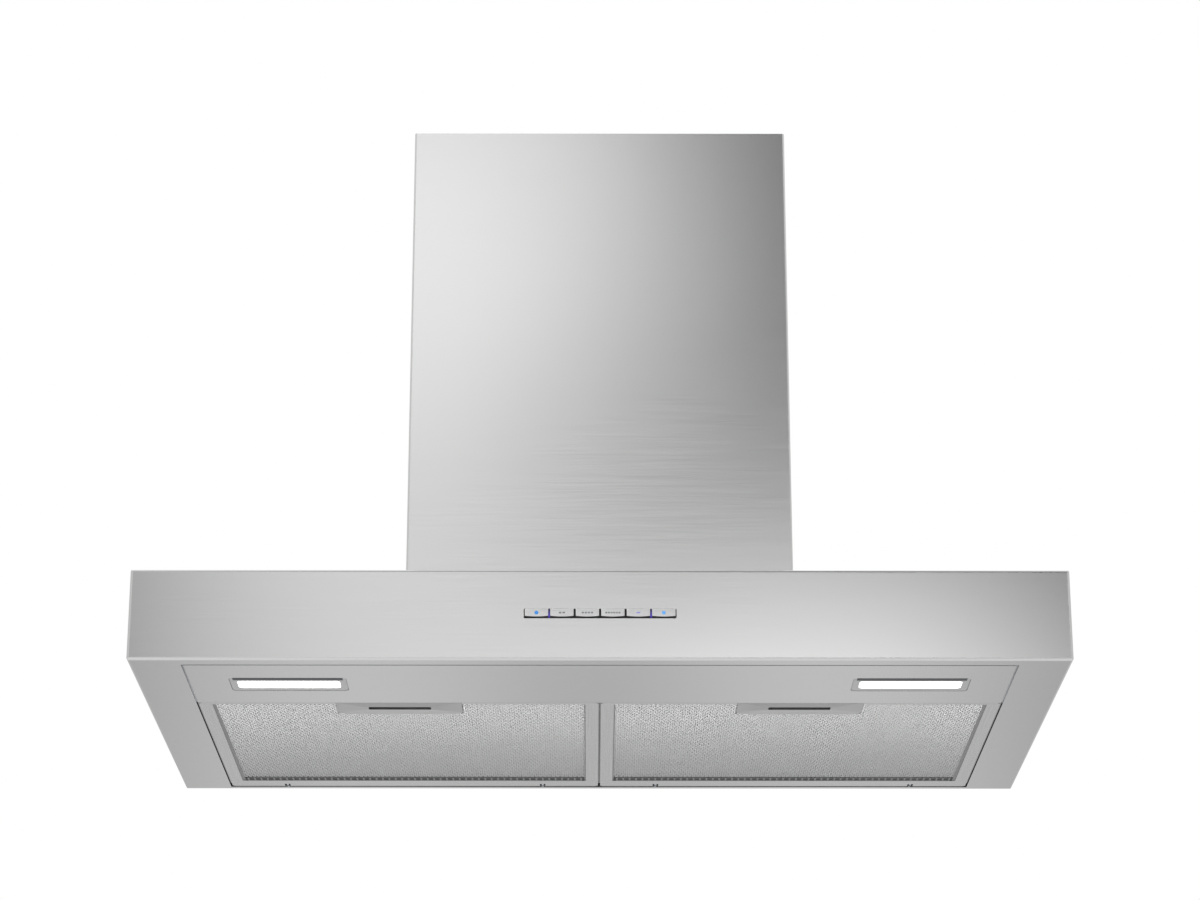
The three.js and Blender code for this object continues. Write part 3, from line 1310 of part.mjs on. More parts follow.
function buildSupply() {
  const inner = boxHalf + SEAT;
  const outer = inner + JUNCTION_WIDTH;
  const y1 = boxBack - JUNCTION_FROM_BOX_REAR;
  const y0 = y1 - JUNCTION_DEPTH;
  const z0 = canopyTop + JUNCTION_ABOVE_CANOPY;
  const z1 = z0 + JUNCTION_HEIGHT;
  const wall = CONTROL_WALL;
  const shell = box(-outer, -inner, y0, y1, z0, z1);
  const room = box(-outer - PAST, -inner - wall, y0 + wall, y1 - wall, z0 + wall, z1 - wall);
  const entryY = (y0 + y1) / 2;
  const entryX = -(inner + outer) / 2;
  const entry = rod('z', entryX, entryY, GLAND_BORE + wall + SEAT, z1 - PAST, z1 + PAST, ROUND);
  place('junction_box', cut(shell, [room, entry]), 'greyPlastic');

  const lidInner = -outer - SEAT;
  const lid = plate(roundedRectangle(y0, y1, z0, z1, 3), 'x', lidInner - JUNCTION_LID, lidInner);
  place('junction_box_lid', lid, 'greyPlastic');

  const seat = z1 + SEAT;
  const gland = turned('z', entryX, entryY, [
    [GLAND_BORE, z1 - wall],
    [GLAND_BORE + wall, z1 - wall],
    [GLAND_BORE + wall, seat],
    [GLAND_RADIUS, seat],
    [GLAND_RADIUS, seat + GLAND_LENGTH * 0.5],
    [GLAND_RADIUS - 2.5, seat + GLAND_LENGTH],
    [GLAND_BORE, seat + GLAND_LENGTH],
  ], SMALL);
  place('cable_gland', gland, 'blackPlastic');

  const capX = boxHalf + SEAT + CAPACITOR_RADIUS;
  const capY = boxBack - CAPACITOR_FROM_BOX_REAR;
  const capZ = canopyTop + CAPACITOR_ABOVE_CANOPY;
  const capacitor = turned('z', capX, capY, [
    [0, capZ],
    [CAPACITOR_RADIUS - 1, capZ],
    [CAPACITOR_RADIUS, capZ + 1],
    [CAPACITOR_RADIUS, capZ + CAPACITOR_HEIGHT - 2],
    [CAPACITOR_RADIUS - 2, capZ + CAPACITOR_HEIGHT],
    [4, capZ + CAPACITOR_HEIGHT],
    [4, capZ + CAPACITOR_HEIGHT + 6],
    [0, capZ + CAPACITOR_HEIGHT + 6],
  ], ROUND);
  place('capacitor', capacitor, 'whitePlastic');
}

// ---------------------------------------------------------------- wall hangers

// A cast block behind each slot of the back: its hook catches the wall fixing and a screw levels it.
function buildHangers() {
  const x = endX - WALL_SLOT_FROM_END;
  const half = HANGER_WIDTH / 2;
  const top = insideTop - SEAT * 4;
  const bottom = top - HANGER_HEIGHT;
  const back = insideBack - SEAT;
  const front = back - HANGER_DEPTH;
  const slotTop = canopyTop - WALL_SLOT_TOP;
  const body = box(x - half, x + half, front, back, bottom, top);
  const hollow = box(x - half + 4, x + half - 4, front + 4, back + PAST, bottom + 14, slotTop - 4);
  const hookHalf = HANGER_HOOK_WIDTH / 2;
  const hookTop = slotTop - 5;
  const hookBottom = hookTop - HANGER_HOOK_HEIGHT;
  const arm = box(x - hookHalf, x + hookHalf, front + 3, back - 2, hookTop - 3, hookTop);
  const nose = box(x - hookHalf, x + hookHalf, back - 4, back - 2, hookBottom, hookTop);
  const screwY = front + HANGER_DEPTH / 2;
  const screwHole = rod('z', x, screwY, HANGER_SCREW_RADIUS + SEAT, bottom - PAST, bottom + 14 + PAST, SMALL);
  placePair('wall_hanger', join([cut(body, [hollow, screwHole]), arm, nose]), 'zincSteel');

  const headTop = bottom - SEAT;
  const screw = turned('z', x, screwY, [
    [0, headTop - 4],
    [HANGER_SCREW_HEAD, headTop - 4],
    [HANGER_SCREW_HEAD, headTop],
    [HANGER_SCREW_RADIUS, headTop],
    [HANGER_SCREW_RADIUS, bottom + 20],
    [0, bottom + 20],
  ], SMALL);
  placePair('hanger_screw', screw, 'zincSteel');
}

// ---------------------------------------------------------------- assembly

buildCanopy();
buildHingeRail();
buildLampPanel();
buildLamps();
buildFilterFrame();
buildFilterLayers();
buildFilterHandle();
buildFilterLatch();
buildButtons();
buildKeypad();
buildChimney();
buildChimneyBrackets();
buildBlowerBox();
buildScroll();
buildImpeller();
buildMotor();
buildCollar();
buildFlaps();
buildControls();
buildLampDriver();
buildSupply();
buildHangers();

export default hood;
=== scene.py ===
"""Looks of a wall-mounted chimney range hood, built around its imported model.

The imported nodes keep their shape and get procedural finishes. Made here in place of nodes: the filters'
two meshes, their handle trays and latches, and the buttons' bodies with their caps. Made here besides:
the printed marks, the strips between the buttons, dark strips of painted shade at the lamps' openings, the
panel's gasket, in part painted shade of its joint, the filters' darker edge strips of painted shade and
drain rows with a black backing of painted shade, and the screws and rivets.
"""

import logging
import math
from dataclasses import dataclass, field
from enum import Enum
from typing import Iterable, Sequence

import bpy
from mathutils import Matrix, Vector


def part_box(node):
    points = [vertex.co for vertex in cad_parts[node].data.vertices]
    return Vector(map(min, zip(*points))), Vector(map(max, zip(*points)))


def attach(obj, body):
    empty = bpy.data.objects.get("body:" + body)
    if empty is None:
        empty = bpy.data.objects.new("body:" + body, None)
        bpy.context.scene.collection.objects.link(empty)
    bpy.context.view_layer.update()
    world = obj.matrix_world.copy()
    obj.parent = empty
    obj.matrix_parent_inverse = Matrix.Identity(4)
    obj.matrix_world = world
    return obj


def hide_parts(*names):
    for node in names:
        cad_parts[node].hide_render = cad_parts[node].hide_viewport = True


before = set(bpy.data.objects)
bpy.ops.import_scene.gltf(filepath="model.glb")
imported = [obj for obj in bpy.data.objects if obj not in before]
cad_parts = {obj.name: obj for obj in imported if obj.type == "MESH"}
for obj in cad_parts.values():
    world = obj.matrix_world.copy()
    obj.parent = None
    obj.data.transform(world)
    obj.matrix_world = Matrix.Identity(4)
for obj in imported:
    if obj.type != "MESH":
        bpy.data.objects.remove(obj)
log = logging.getLogger("range_hood")
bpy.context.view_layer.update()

Colour = tuple[float, float, float, float]
Triple = tuple[float, float, float]

CORNER_STEPS = 6  # straight steps in each rounded corner
MERGE_DIGITS = 7  # decimals of a metre to which two corners count as one
FILTER_WINDOW_DEPTH = (-0.0915, 0.215)  # front and rear of the filters' openings, along Y


# ---------------------------------------------------------------- small helpers


def linear(hex_colour: str) -> Colour:
    """Turns an sRGB hex colour into Blender's linear one.

    Args:
        hex_colour: A colour such as "#c4c2c0".

    Returns:
        Linear red, green and blue, with an alpha of 1.
    """
    levels = [int(hex_colour[i : i + 2], 16) / 255 for i in (1, 3, 5)]
    red, green, blue = (
        v / 12.92 if v <= 0.04045 else ((v + 0.055) / 1.055) ** 2.4 for v in levels
    )
    return red, green, blue, 1.0


def add_node(
    tree: bpy.types.NodeTree,
    kind: str,
    inputs: dict[str | int, object] | None = None,
    **settings: object,
) -> bpy.types.Node:
    """Adds one node with its settings, values and links.

    Args:
        tree: The node tree that takes the node.
        kind: The node's type name in Blender.
        inputs: For each input, by name or place, the socket that feeds it or its own value.
        settings: The node's properties.

    Returns:
        The new node.
    """
    node = tree.nodes.new(kind)
    for name, value in settings.items():
        setattr(node, name, value)
    for key, value in (inputs or {}).items():
        socket = node.inputs[key]
        if isinstance(value, bpy.types.NodeSocket):
            tree.links.new(value, socket)
        else:
            socket.default_value = value
    return node


def solid_mesh(
    name: str, points: Sequence[Triple], faces: Sequence[Sequence[int]]
) -> bpy.types.Object:
    """Makes an object at the origin from points and faces.

    Args:
        name: The piece's name.
        points: Corners in metres, in the row frame.
        faces: Corner numbers of each face, turning left seen from outside.

    Returns:
        The linked object.
    """
    mesh = bpy.data.meshes.new(name)
    mesh.from_pydata([tuple(p) for p in points], [], [tuple(f) for f in faces])
    mesh.validate()
    mesh.update()
    piece = bpy.data.objects.new(name, mesh)
    bpy.context.scene.collection.objects.link(piece)
    return piece


def box_faces(start: int) -> list[list[int]]:
    """Faces of a box whose eight corners begin at number start, lower four first."""
    a, b, c, d, e, f, g, h = range(start, start + 8)
    return [[a, d, c, b], [e, f, g, h], [a, b, f, e], [b, c, g, f], [c, d, h, g], [d, a, e, h]]


def box_corners(low: Sequence[float], high: Sequence[float]) -> list[Triple]:
    """Eight corners of an upright box.

    Args:
        low: Its lowest corner.
        high: Its highest corner.

    Returns:
        The corners, lower four first.
    """
    (x0, y0, z0), (x1, y1, z1) = low, high
    ring = [(x0, y0), (x1, y0), (x1, y1), (x0, y1)]
    return [(x, y, z) for z in (z0, z1) for x, y in ring]


def rounded_ring(
    centre: tuple[float, float], half: tuple[float, float], radii: tuple[float, float], z: float
) -> list[Triple]:
    """Places points round a rounded rectangle, turning left seen from above.

    Args:
        centre: Its middle along X and Y.
        half: Half its width and half its depth.
        radii: Radius of its rear corners and of its front corners.
        z: Its height.

    Returns:
        The points, one more than CORNER_STEPS for each corner.
    """
    points: list[Triple] = []
    for corner, (side, end) in enumerate(((1, 1), (-1, 1), (-1, -1), (1, -1))):
        radius = radii[0] if end > 0 else radii[1]
        for step in range(CORNER_STEPS + 1):
            angle = math.pi / 2 * (corner + step / CORNER_STEPS)
            x = centre[0] + side * (half[0] - radius) + radius * math.cos(angle)
            y = centre[1] + end * (half[1] - radius) + radius * math.sin(angle)
            points.append((x, y, z))
    return points


def sheet_faces(rings: int, size: int) -> list[list[int]]:
    """Joins rings into a closed sheet: outwards along its underside, and back along its upper side.

    Args:
        rings: How many rings.
        size: Points in each ring.

    Returns:
        The faces.
    """
    return [
        [
            k * size + i,
            k * size + (i + 1) % size,
            (k + 1) % rings * size + (i + 1) % size,
            (k + 1) % rings * size + i,
        ]
        for k in range(rings)
        for i in range(size)
    ]


def node_shape(node: str, front: float = -math.inf) -> tuple[list[Triple], list[list[int]]]:
    """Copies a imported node's mesh with its doubled corners merged.

    Args:
        node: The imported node.
        front: Least Y; a corner in front of it is set back to it.

    Returns:
        Points and faces.
    """
    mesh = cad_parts[node].data
    numbers: dict[Triple, int] = {}
    corners = []
    for vertex in mesh.vertices:
        x, y, z = vertex.co
        place = tuple(round(v, MERGE_DIGITS) for v in (x, max(y, front), z))
        corners.append(numbers.setdefault(place, len(numbers)))
    faces = [[corners[i] for i in polygon.vertices] for polygon in mesh.polygons]
    return list(numbers), [face for face in faces if len(set(face)) == len(face)]


def bevel(piece: bpy.types.Object, width: float) -> None:
    """Rounds a piece's edges and keeps the result as its mesh.

    Args:
        piece: The piece, at the origin.
        width: Width of the rounding in metres.
    """
    edge = piece.modifiers.new("edge", "BEVEL")
    edge.width = width
    edge.segments = 2
    edge.limit_method = "ANGLE"
    bake_modifiers(piece)


def bake_modifiers(piece: bpy.types.Object) -> None:
    """Replaces a piece's mesh with its evaluated one and removes the modifiers.

    Args:
        piece: The piece.
    """
    graph = bpy.context.evaluated_depsgraph_get()
    result = bpy.data.meshes.new_from_object(piece.evaluated_get(graph))
    piece.modifiers.clear()
    piece.data = result


def settle(piece: bpy.types.Object, body: str, slot: str, *replaced: str) -> None:
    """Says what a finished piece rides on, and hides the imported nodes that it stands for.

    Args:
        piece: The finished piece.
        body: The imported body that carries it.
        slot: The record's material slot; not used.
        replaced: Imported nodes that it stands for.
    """
    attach(piece, body)
    if replaced:
        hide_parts(*replaced)
    log.info("%s rides on %s: %d faces", piece.name, body, len(piece.data.polygons))


# ---------------------------------------------------------------- finishes


class Grain(Enum):
    """The way in which a sheet was brushed or rolled."""

    WIDTH = (1.0, 0.0, 0.0)
    DEPTH = (0.0, 1.0, 0.0)
    HEIGHT = (0.0, 0.0, 1.0)


class Finish:
    """A surface finish: one material, made the first time that it is asked for."""

    name: str

    def material(self) -> bpy.types.Material:
        """Gives the finish's material.

        Returns:
            The material, the same one each time.
        """
        known = bpy.data.materials.get(self.name)
        if known:
            return known
        material = bpy.data.materials.new(self.name)
        material.use_nodes = True
        tree = material.node_tree
        shader = tree.nodes["Principled BSDF"]
        self.build(tree, shader)
        return material

    def build(self, tree: bpy.types.NodeTree, shader: bpy.types.Node) -> None:
        """Wires the finish's nodes into the shader.

        Args:
            tree: The material's tree.
            shader: The tree's Principled BSDF.
        """
        raise NotImplementedError


def place_of(tree: bpy.types.NodeTree, scale: Triple = (1.0, 1.0, 1.0)) -> bpy.types.NodeSocket:
    """Gives a point's place on the piece, in metres times a scale.

    Args:
        tree: The material's tree.
        scale: Repeats per metre along X, Y and Z.

    Returns:
        The vector socket.
    """
    where = add_node(tree, "ShaderNodeTexCoord")
    mapped = add_node(
        tree, "ShaderNodeMapping", {"Vector": where.outputs["Object"], "Scale": scale}
    )
    return mapped.outputs["Vector"]


def spread(
    tree: bpy.types.NodeTree, value: bpy.types.NodeSocket, low: float, high: float
) -> bpy.types.NodeSocket:
    """Maps a value from 0 to 1 onto low to high.

    Args:
        tree: The material's tree.
        value: The socket to map.
        low: Result at 0.
        high: Result at 1.

    Returns:
        The mapped socket.
    """
    node = add_node(tree, "ShaderNodeMapRange", {"Value": value, "To Min": low, "To Max": high})
    return node.outputs["Result"]


def tone(
    tree: bpy.types.NodeTree, value: bpy.types.NodeSocket, dark: str, light: str
) -> bpy.types.NodeSocket:
    """Blends two hex colours by a value from 0 to 1.

    Args:
        tree: The material's tree.
        value: Share of the light colour.
        dark: Colour at 0.
        light: Colour at 1.

    Returns:
        The colour socket.
    """
    node = add_node(tree, "ShaderNodeMix", {0: value}, data_type="RGBA")
    node.inputs[6].default_value = linear(dark)
    node.inputs[7].default_value = linear(light)
    return node.outputs[2]


def raised(
    tree: bpy.types.NodeTree, height: bpy.types.NodeSocket, metres: float
) -> bpy.types.NodeSocket:
    """Turns a height pattern into a bumped normal.

    Args:
        tree: The material's tree.
        height: Pattern from 0 to 1.
        metres: Height that 1 stands for.

    Returns:
        The normal socket.
    """
    node = add_node(tree, "ShaderNodeBump", {"Height": height, "Distance": metres, "Strength": 1.0})
    return node.outputs["Normal"]


@dataclass(frozen=True)
class BrushedStainless(Finish):
    """Ferritic stainless sheet, brushed in one direction: reflections smear across the grain."""

    name: str
    dark: str = "#dadada"
    light: str = "#e2e2e2"
    roughness: float = 0.15
    across: float = 0.75
    grain: Grain = Grain.WIDTH
    line_mm: float = 0.9  # real scratches are about 0.1 mm; coarser here, so that they show
    line_length_mm: float = 85.0
    unevenness: float = 0.02  # of the roughness, to each side
    waves_per_metre: Triple = (2.2, 3.1, 2.6)
    wave_height: float = 0.0006

    def build(self, tree: bpy.types.NodeTree, shader: bpy.types.Node) -> None:
        """Wires long scratch lines into colour and roughness, and turns the gloss across them.

        Args:
            tree: The material's tree.
            shader: The tree's Principled BSDF.
        """
        fine = 1000 / self.line_mm
        along = 1000 / self.line_length_mm
        scale = tuple(along if part else fine for part in self.grain.value)
        lines = add_node(
            tree,
            "ShaderNodeTexNoise",
            {"Vector": place_of(tree, scale), "Scale": 1.0, "Detail": 3.0, "Roughness": 0.6},
        ).outputs["Fac"]
        broad = add_node(
            tree,
            "ShaderNodeTexNoise",
            {"Vector": place_of(tree, self.waves_per_metre), "Scale": 1.0, "Detail": 1.0},
        ).outputs["Fac"]
        normal = add_node(tree, "ShaderNodeNewGeometry").outputs["Normal"]
        parts = add_node(tree, "ShaderNodeSeparateXYZ", {"Vector": normal})
        sideways = add_node(tree, "ShaderNodeMath", {0: parts.outputs["X"]}, operation="ABSOLUTE")
        brush = self.brush_direction(tree, sideways.outputs["Value"])
        tangent = add_node(
            tree, "ShaderNodeVectorMath", {0: normal, 1: brush}, operation="CROSS_PRODUCT"
        )
        tree.links.new(tone(tree, lines, self.dark, self.light), shader.inputs["Base Color"])
        tree.links.new(
            spread(tree, lines, self.roughness - self.unevenness, self.roughness + self.unevenness),
            shader.inputs["Roughness"],
        )
        tree.links.new(raised(tree, broad, self.wave_height), shader.inputs["Normal"])
        tree.links.new(tangent.outputs["Vector"], shader.inputs["Tangent"])
        shader.inputs["Metallic"].default_value = 1.0
        shader.inputs["Anisotropic"].default_value = self.across

    def brush_direction(
        self, tree: bpy.types.NodeTree, sideways: bpy.types.NodeSocket
    ) -> bpy.types.NodeSocket:
        """Gives the brushing's direction, which runs on round the corner on an end face.

        Args:
            tree: The material's tree.
            sideways: How far the face looks along the width, from 0 to 1.

        Returns:
            The direction socket.
        """
        x, y, z = self.grain.value
        inputs: dict[str | int, object] = {"X": x, "Y": y, "Z": z}
        if self.grain is Grain.WIDTH:
            inputs["Y"] = sideways
        return add_node(tree, "ShaderNodeCombineXYZ", inputs).outputs["Vector"]


@dataclass(frozen=True)
class Galvanised(Finish):
    """Hot-dip galvanised sheet: zinc crystals of a few millimetres, each with its own grey and gloss."""

    name: str
    dark: str = "#b2b6b9"
    light: str = "#cfd2d5"
    spangle_mm: float = 7.0
    gloss: tuple[float, float] = (0.34, 0.5)  # roughness of the brightest and the dullest crystal

    def build(self, tree: bpy.types.NodeTree, shader: bpy.types.Node) -> None:
        """Wires the crystals into colour and roughness.

        Args:
            tree: The material's tree.
            shader: The tree's Principled BSDF.
        """
        per_metre = 1000 / self.spangle_mm
        cells = add_node(
            tree,
            "ShaderNodeTexVoronoi",
            {"Vector": place_of(tree, (per_metre,) * 3), "Scale": 1.0},
        )
        level = add_node(tree, "ShaderNodeSeparateColor", {"Color": cells.outputs["Color"]})
        tree.links.new(
            tone(tree, level.outputs["Red"], self.dark, self.light), shader.inputs["Base Color"]
        )
        tree.links.new(
            spread(tree, level.outputs["Green"], *self.gloss), shader.inputs["Roughness"]
        )
        shader.inputs["Metallic"].default_value = 1.0


@dataclass(frozen=True)
class RolledAluminium(Finish):
    """Mill-finish aluminium strip: soft gloss with faint rolling lines along it."""

    name: str
    dark: str = "#cccccc"
    light: str = "#dddddd"
    roughness: float = 0.36
    metal: float = 1.0  # less where oxide and broken edges scatter the light
    line_mm: float = 1.4  # real rolling lines are about 0.2 mm; coarser here, so that they show
    lines_per_metre: float = 9.0
    unevenness: float = 0.05  # of the roughness, to each side
    side_strips: tuple[float, float] = (0.0, 0.0)  # between these Y the strips run front to rear

    def build(self, tree: bpy.types.NodeTree, shader: bpy.types.Node) -> None:
        """Wires the rolling lines into colour and roughness, along each strip.

        Args:
            tree: The material's tree.
            shader: The tree's Principled BSDF.
        """
        front, rear = self.side_strips
        where = add_node(tree, "ShaderNodeTexCoord").outputs["Object"]
        depth = add_node(tree, "ShaderNodeSeparateXYZ", {"Vector": where}).outputs["Y"]
        offset = add_node(
            tree, "ShaderNodeMath", {0: depth, 1: (front + rear) / 2}, operation="SUBTRACT"
        )
        away = add_node(tree, "ShaderNodeMath", {0: offset.outputs["Value"]}, operation="ABSOLUTE")
        at_side = add_node(
            tree,
            "ShaderNodeMath",
            {0: away.outputs["Value"], 1: (rear - front) / 2},
            operation="LESS_THAN",
        )
        both = {
            0: at_side.outputs["Value"],
            2: self.lines(tree, Grain.WIDTH),
            3: self.lines(tree, Grain.DEPTH),
        }
        lines = add_node(tree, "ShaderNodeMix", both, data_type="FLOAT").outputs[0]
        tree.links.new(tone(tree, lines, self.dark, self.light), shader.inputs["Base Color"])
        tree.links.new(
            spread(tree, lines, self.roughness - self.unevenness, self.roughness + self.unevenness),
            shader.inputs["Roughness"],
        )
        shader.inputs["Metallic"].default_value = self.metal

    def lines(self, tree: bpy.types.NodeTree, grain: Grain) -> bpy.types.NodeSocket:
        """Draws rolling lines along one direction.

        Args:
            tree: The material's tree.
            grain: The direction.

        Returns:
            The pattern's socket, from 0 to 1.
        """
        fine = 1000 / self.line_mm
        scale = tuple(self.lines_per_metre if part else fine for part in grain.value)
        noise = add_node(
            tree,
            "ShaderNodeTexNoise",
            {"Vector": place_of(tree, scale), "Scale": 1.0, "Detail": 2.0},
        )
        return noise.outputs["Fac"]


@dataclass(frozen=True)
class WireLayers(Finish):
    """Crimped aluminium wire netting in several layers: bright wires, with painted shade in the gaps
    between them.
    """

    name: str
    dark: str = "#4b4d50"
    light: str = "#c2c4c6"
    wire_mm: float = 1.6
    gap: tuple[float, float] = (0.05, 0.3)  # where a wire's edge starts and ends, in cell distances
    wire_height: float = 0.0006

    def build(self, tree: bpy.types.NodeTree, shader: bpy.types.Node) -> None:
        """Wires a tangle of threads into colour and height, with painted shade in the gaps between them.

        Args:
            tree: The material's tree.
            shader: The tree's Principled BSDF.
        """
        per_metre = 1000 / self.wire_mm
        threads = add_node(
            tree,
            "ShaderNodeTexVoronoi",
            {"Vector": place_of(tree, (per_metre, per_metre / 2, per_metre)), "Scale": 1.0},
            feature="DISTANCE_TO_EDGE",
        ).outputs["Distance"]
        wire = add_node(
            tree,
            "ShaderNodeMapRange",
            {
                "Value": threads,
                "From Min": self.gap[0],
                "From Max": self.gap[1],
                "To Min": 1.0,
                "To Max": 0.0,
            },
        ).outputs["Result"]
        # The dark tone between the wires is painted shade of the gaps in the netting.
        tree.links.new(tone(tree, wire, self.dark, self.light), shader.inputs["Base Color"])
        tree.links.new(raised(tree, wire, self.wire_height), shader.inputs["Normal"])
        shader.inputs["Metallic"].default_value = 0.85
        shader.inputs["Roughness"].default_value = 0.48


@dataclass(frozen=True)
class MouldedPlastic(Finish):
    """Injection-moulded plastic with a spark-eroded texture: an even colour under a soft, broken gloss."""

    name: str
    colour: str
    shade: str
    roughness: float = 0.45
    texture_mm: float = 0.7
    texture_depth: float = 0.00004
    unevenness: float = 0.06  # of the roughness, to each side

    def build(self, tree: bpy.types.NodeTree, shader: bpy.types.Node) -> None:
        """Wires the mould's fine texture into height and roughness.

        Args:
            tree: The material's tree.
            shader: The tree's Principled BSDF.
        """
        per_metre = 1000 / self.texture_mm
        grit = add_node(
            tree,
            "ShaderNodeTexNoise",
            {"Vector": place_of(tree, (per_metre,) * 3), "Scale": 1.0, "Detail": 1.0},
        ).outputs["Fac"]
        tree.links.new(tone(tree, grit, self.shade, self.colour), shader.inputs["Base Color"])
        tree.links.new(
            spread(tree, grit, self.roughness - self.unevenness, self.roughness + self.unevenness),
            shader.inputs["Roughness"],
        )
        tree.links.new(raised(tree, grit, self.texture_depth), shader.inputs["Normal"])


@dataclass(frozen=True)
class MetalLacquer(Finish):
    """Silver lacquer with metal flakes on moulded plastic: satin, with tiny lighter and darker specks.

    A binder covers most flakes, so it is less metallic than bare metal.
    """

    name: str
    dark: str = "#dedede"
    light: str = "#ececec"
    flake_mm: float = 0.5
    gloss: tuple[float, float] = (0.3, 0.42)  # least and greatest roughness
    metal: float = 0.7

    def build(self, tree: bpy.types.NodeTree, shader: bpy.types.Node) -> None:
        """Wires the flakes into colour.

        Args:
            tree: The material's tree.
            shader: The tree's Principled BSDF.
        """
        per_metre = 1000 / self.flake_mm
        flakes = add_node(
            tree,
            "ShaderNodeTexNoise",
            {"Vector": place_of(tree, (per_metre,) * 3), "Scale": 1.0, "Detail": 0.0},
        ).outputs["Fac"]
        tree.links.new(tone(tree, flakes, self.dark, self.light), shader.inputs["Base Color"])
        tree.links.new(spread(tree, flakes, *self.gloss), shader.inputs["Roughness"])
        shader.inputs["Metallic"].default_value = self.metal


@dataclass(frozen=True)
class LitCover(Finish):
    """Frosted polycarbonate cover with the lamp on behind it: even white light, softer at its rim."""

    name: str
    centre: Triple
    half: Triple
    light: str = "#fffefb"
    strength: float = 1.25
    rim_from: float = 0.94  # share of the way from the middle to the edge
    rim_light: float = 0.62  # share of the light that is left at the edge

    def build(self, tree: bpy.types.NodeTree, shader: bpy.types.Node) -> None:
        """Wires the light's fall towards the cover's rim into its glow.

        Args:
            tree: The material's tree.
            shader: The tree's Principled BSDF.
        """
        where = add_node(tree, "ShaderNodeTexCoord").outputs["Object"]
        span = tuple(1 / size for size in self.half)
        shift = tuple(-c / size for c, size in zip(self.centre, self.half))
        local = add_node(
            tree,
            "ShaderNodeMapping",
            {
                "Vector": where,
                "Scale": (span[0], span[1], 0.0),
                "Location": (shift[0], shift[1], 0.0),
            },
        )
        parts = add_node(tree, "ShaderNodeSeparateXYZ", {"Vector": local.outputs["Vector"]})
        far = [
            add_node(tree, "ShaderNodeMath", {0: parts.outputs[axis]}, operation="ABSOLUTE").outputs[0]
            for axis in ("X", "Y")
        ]
        rim = add_node(tree, "ShaderNodeMath", {0: far[0], 1: far[1]}, operation="MAXIMUM")
        glow = add_node(
            tree,
            "ShaderNodeMapRange",
            {
                "Value": rim.outputs[0],
                "From Min": self.rim_from,
                "From Max": 1.0,
                "To Min": self.strength,
                "To Max": self.strength * self.rim_light,
            },
        )
        shader.inputs["Base Color"].default_value = linear(self.light)
        shader.inputs["Roughness"].default_value = 0.5
        shader.inputs["Emission Color"].default_value = linear(self.light)
        tree.links.new(glow.outputs["Result"], shader.inputs["Emission Strength"])


@dataclass(frozen=True)
class LacqueredBoard(Finish):
    """Printed circuit board: green solder lacquer with slightly lighter copper tracks under it."""

    name: str
    lacquer: str = "#1d4f33"
    track: str = "#2f7a4c"
    track_mm: float = 2.4
    track_height: float = 0.00005
    track_edge: tuple[float, float] = (0.1, 0.16)  # where its edge starts and ends, in cell distances

    def build(self, tree: bpy.types.NodeTree, shader: bpy.types.Node) -> None:
        """Wires the tracks into colour and height.

        Args:
            tree: The material's tree.
            shader: The tree's Principled BSDF.
        """
        per_metre = 1000 / self.track_mm
        tracks = add_node(
            tree,
            "ShaderNodeTexVoronoi",
            {"Vector": place_of(tree, (per_metre / 3, per_metre, per_metre)), "Scale": 1.0},
            feature="DISTANCE_TO_EDGE",
        ).outputs["Distance"]
        line = add_node(
            tree,
            "ShaderNodeMapRange",
            {
                "Value": tracks,
                "From Min": self.track_edge[0],
                "From Max": self.track_edge[1],
                "To Min": 1.0,
                "To Max": 0.0,
            },
        ).outputs["Result"]
        tree.links.new(tone(tree, line, self.lacquer, self.track), shader.inputs["Base Color"])
        tree.links.new(raised(tree, line, self.track_height), shader.inputs["Normal"])
        shader.inputs["Roughness"].default_value = 0.3


@dataclass(frozen=True)
class ZincPlate(Finish):
    """Zinc-plated, blue-passivated steel: a grey gloss with faint cloudy patches."""

    name: str
    dark: str = "#a9adb2"
    light: str = "#c8cbcf"
    cloud_mm: float = 9.0
    gloss: tuple[float, float] = (0.24, 0.4)  # least and greatest roughness

    def build(self, tree: bpy.types.NodeTree, shader: bpy.types.Node) -> None:
        """Wires the clouds into colour and roughness.

        Args:
            tree: The material's tree.
            shader: The tree's Principled BSDF.
        """
        per_metre = 1000 / self.cloud_mm
        clouds = add_node(
            tree,
            "ShaderNodeTexNoise",
            {"Vector": place_of(tree, (per_metre,) * 3), "Scale": 1.0, "Detail": 4.0},
        ).outputs["Fac"]
        tree.links.new(tone(tree, clouds, self.dark, self.light), shader.inputs["Base Color"])
        tree.links.new(spread(tree, clouds, *self.gloss), shader.inputs["Roughness"])
        shader.inputs["Metallic"].default_value = 1.0


@dataclass(frozen=True)
class PrintedInk(Finish):
    """Pad-printed ink: flat and matt, a little uneven where the pad lifted."""

    name: str
    colour: str
    thin: str
    patches_per_metre: float = 900.0

    def build(self, tree: bpy.types.NodeTree, shader: bpy.types.Node) -> None:
        """Wires the ink's unevenness into colour.

        Args:
            tree: The material's tree.
            shader: The tree's Principled BSDF.
        """
        patches = add_node(
            tree,
            "ShaderNodeTexNoise",
            {"Vector": place_of(tree, (self.patches_per_metre,) * 3), "Scale": 1.0, "Detail": 1.0},
        ).outputs["Fac"]
        tree.links.new(tone(tree, patches, self.thin, self.colour), shader.inputs["Base Color"])
        shader.inputs["Roughness"].default_value = 0.55


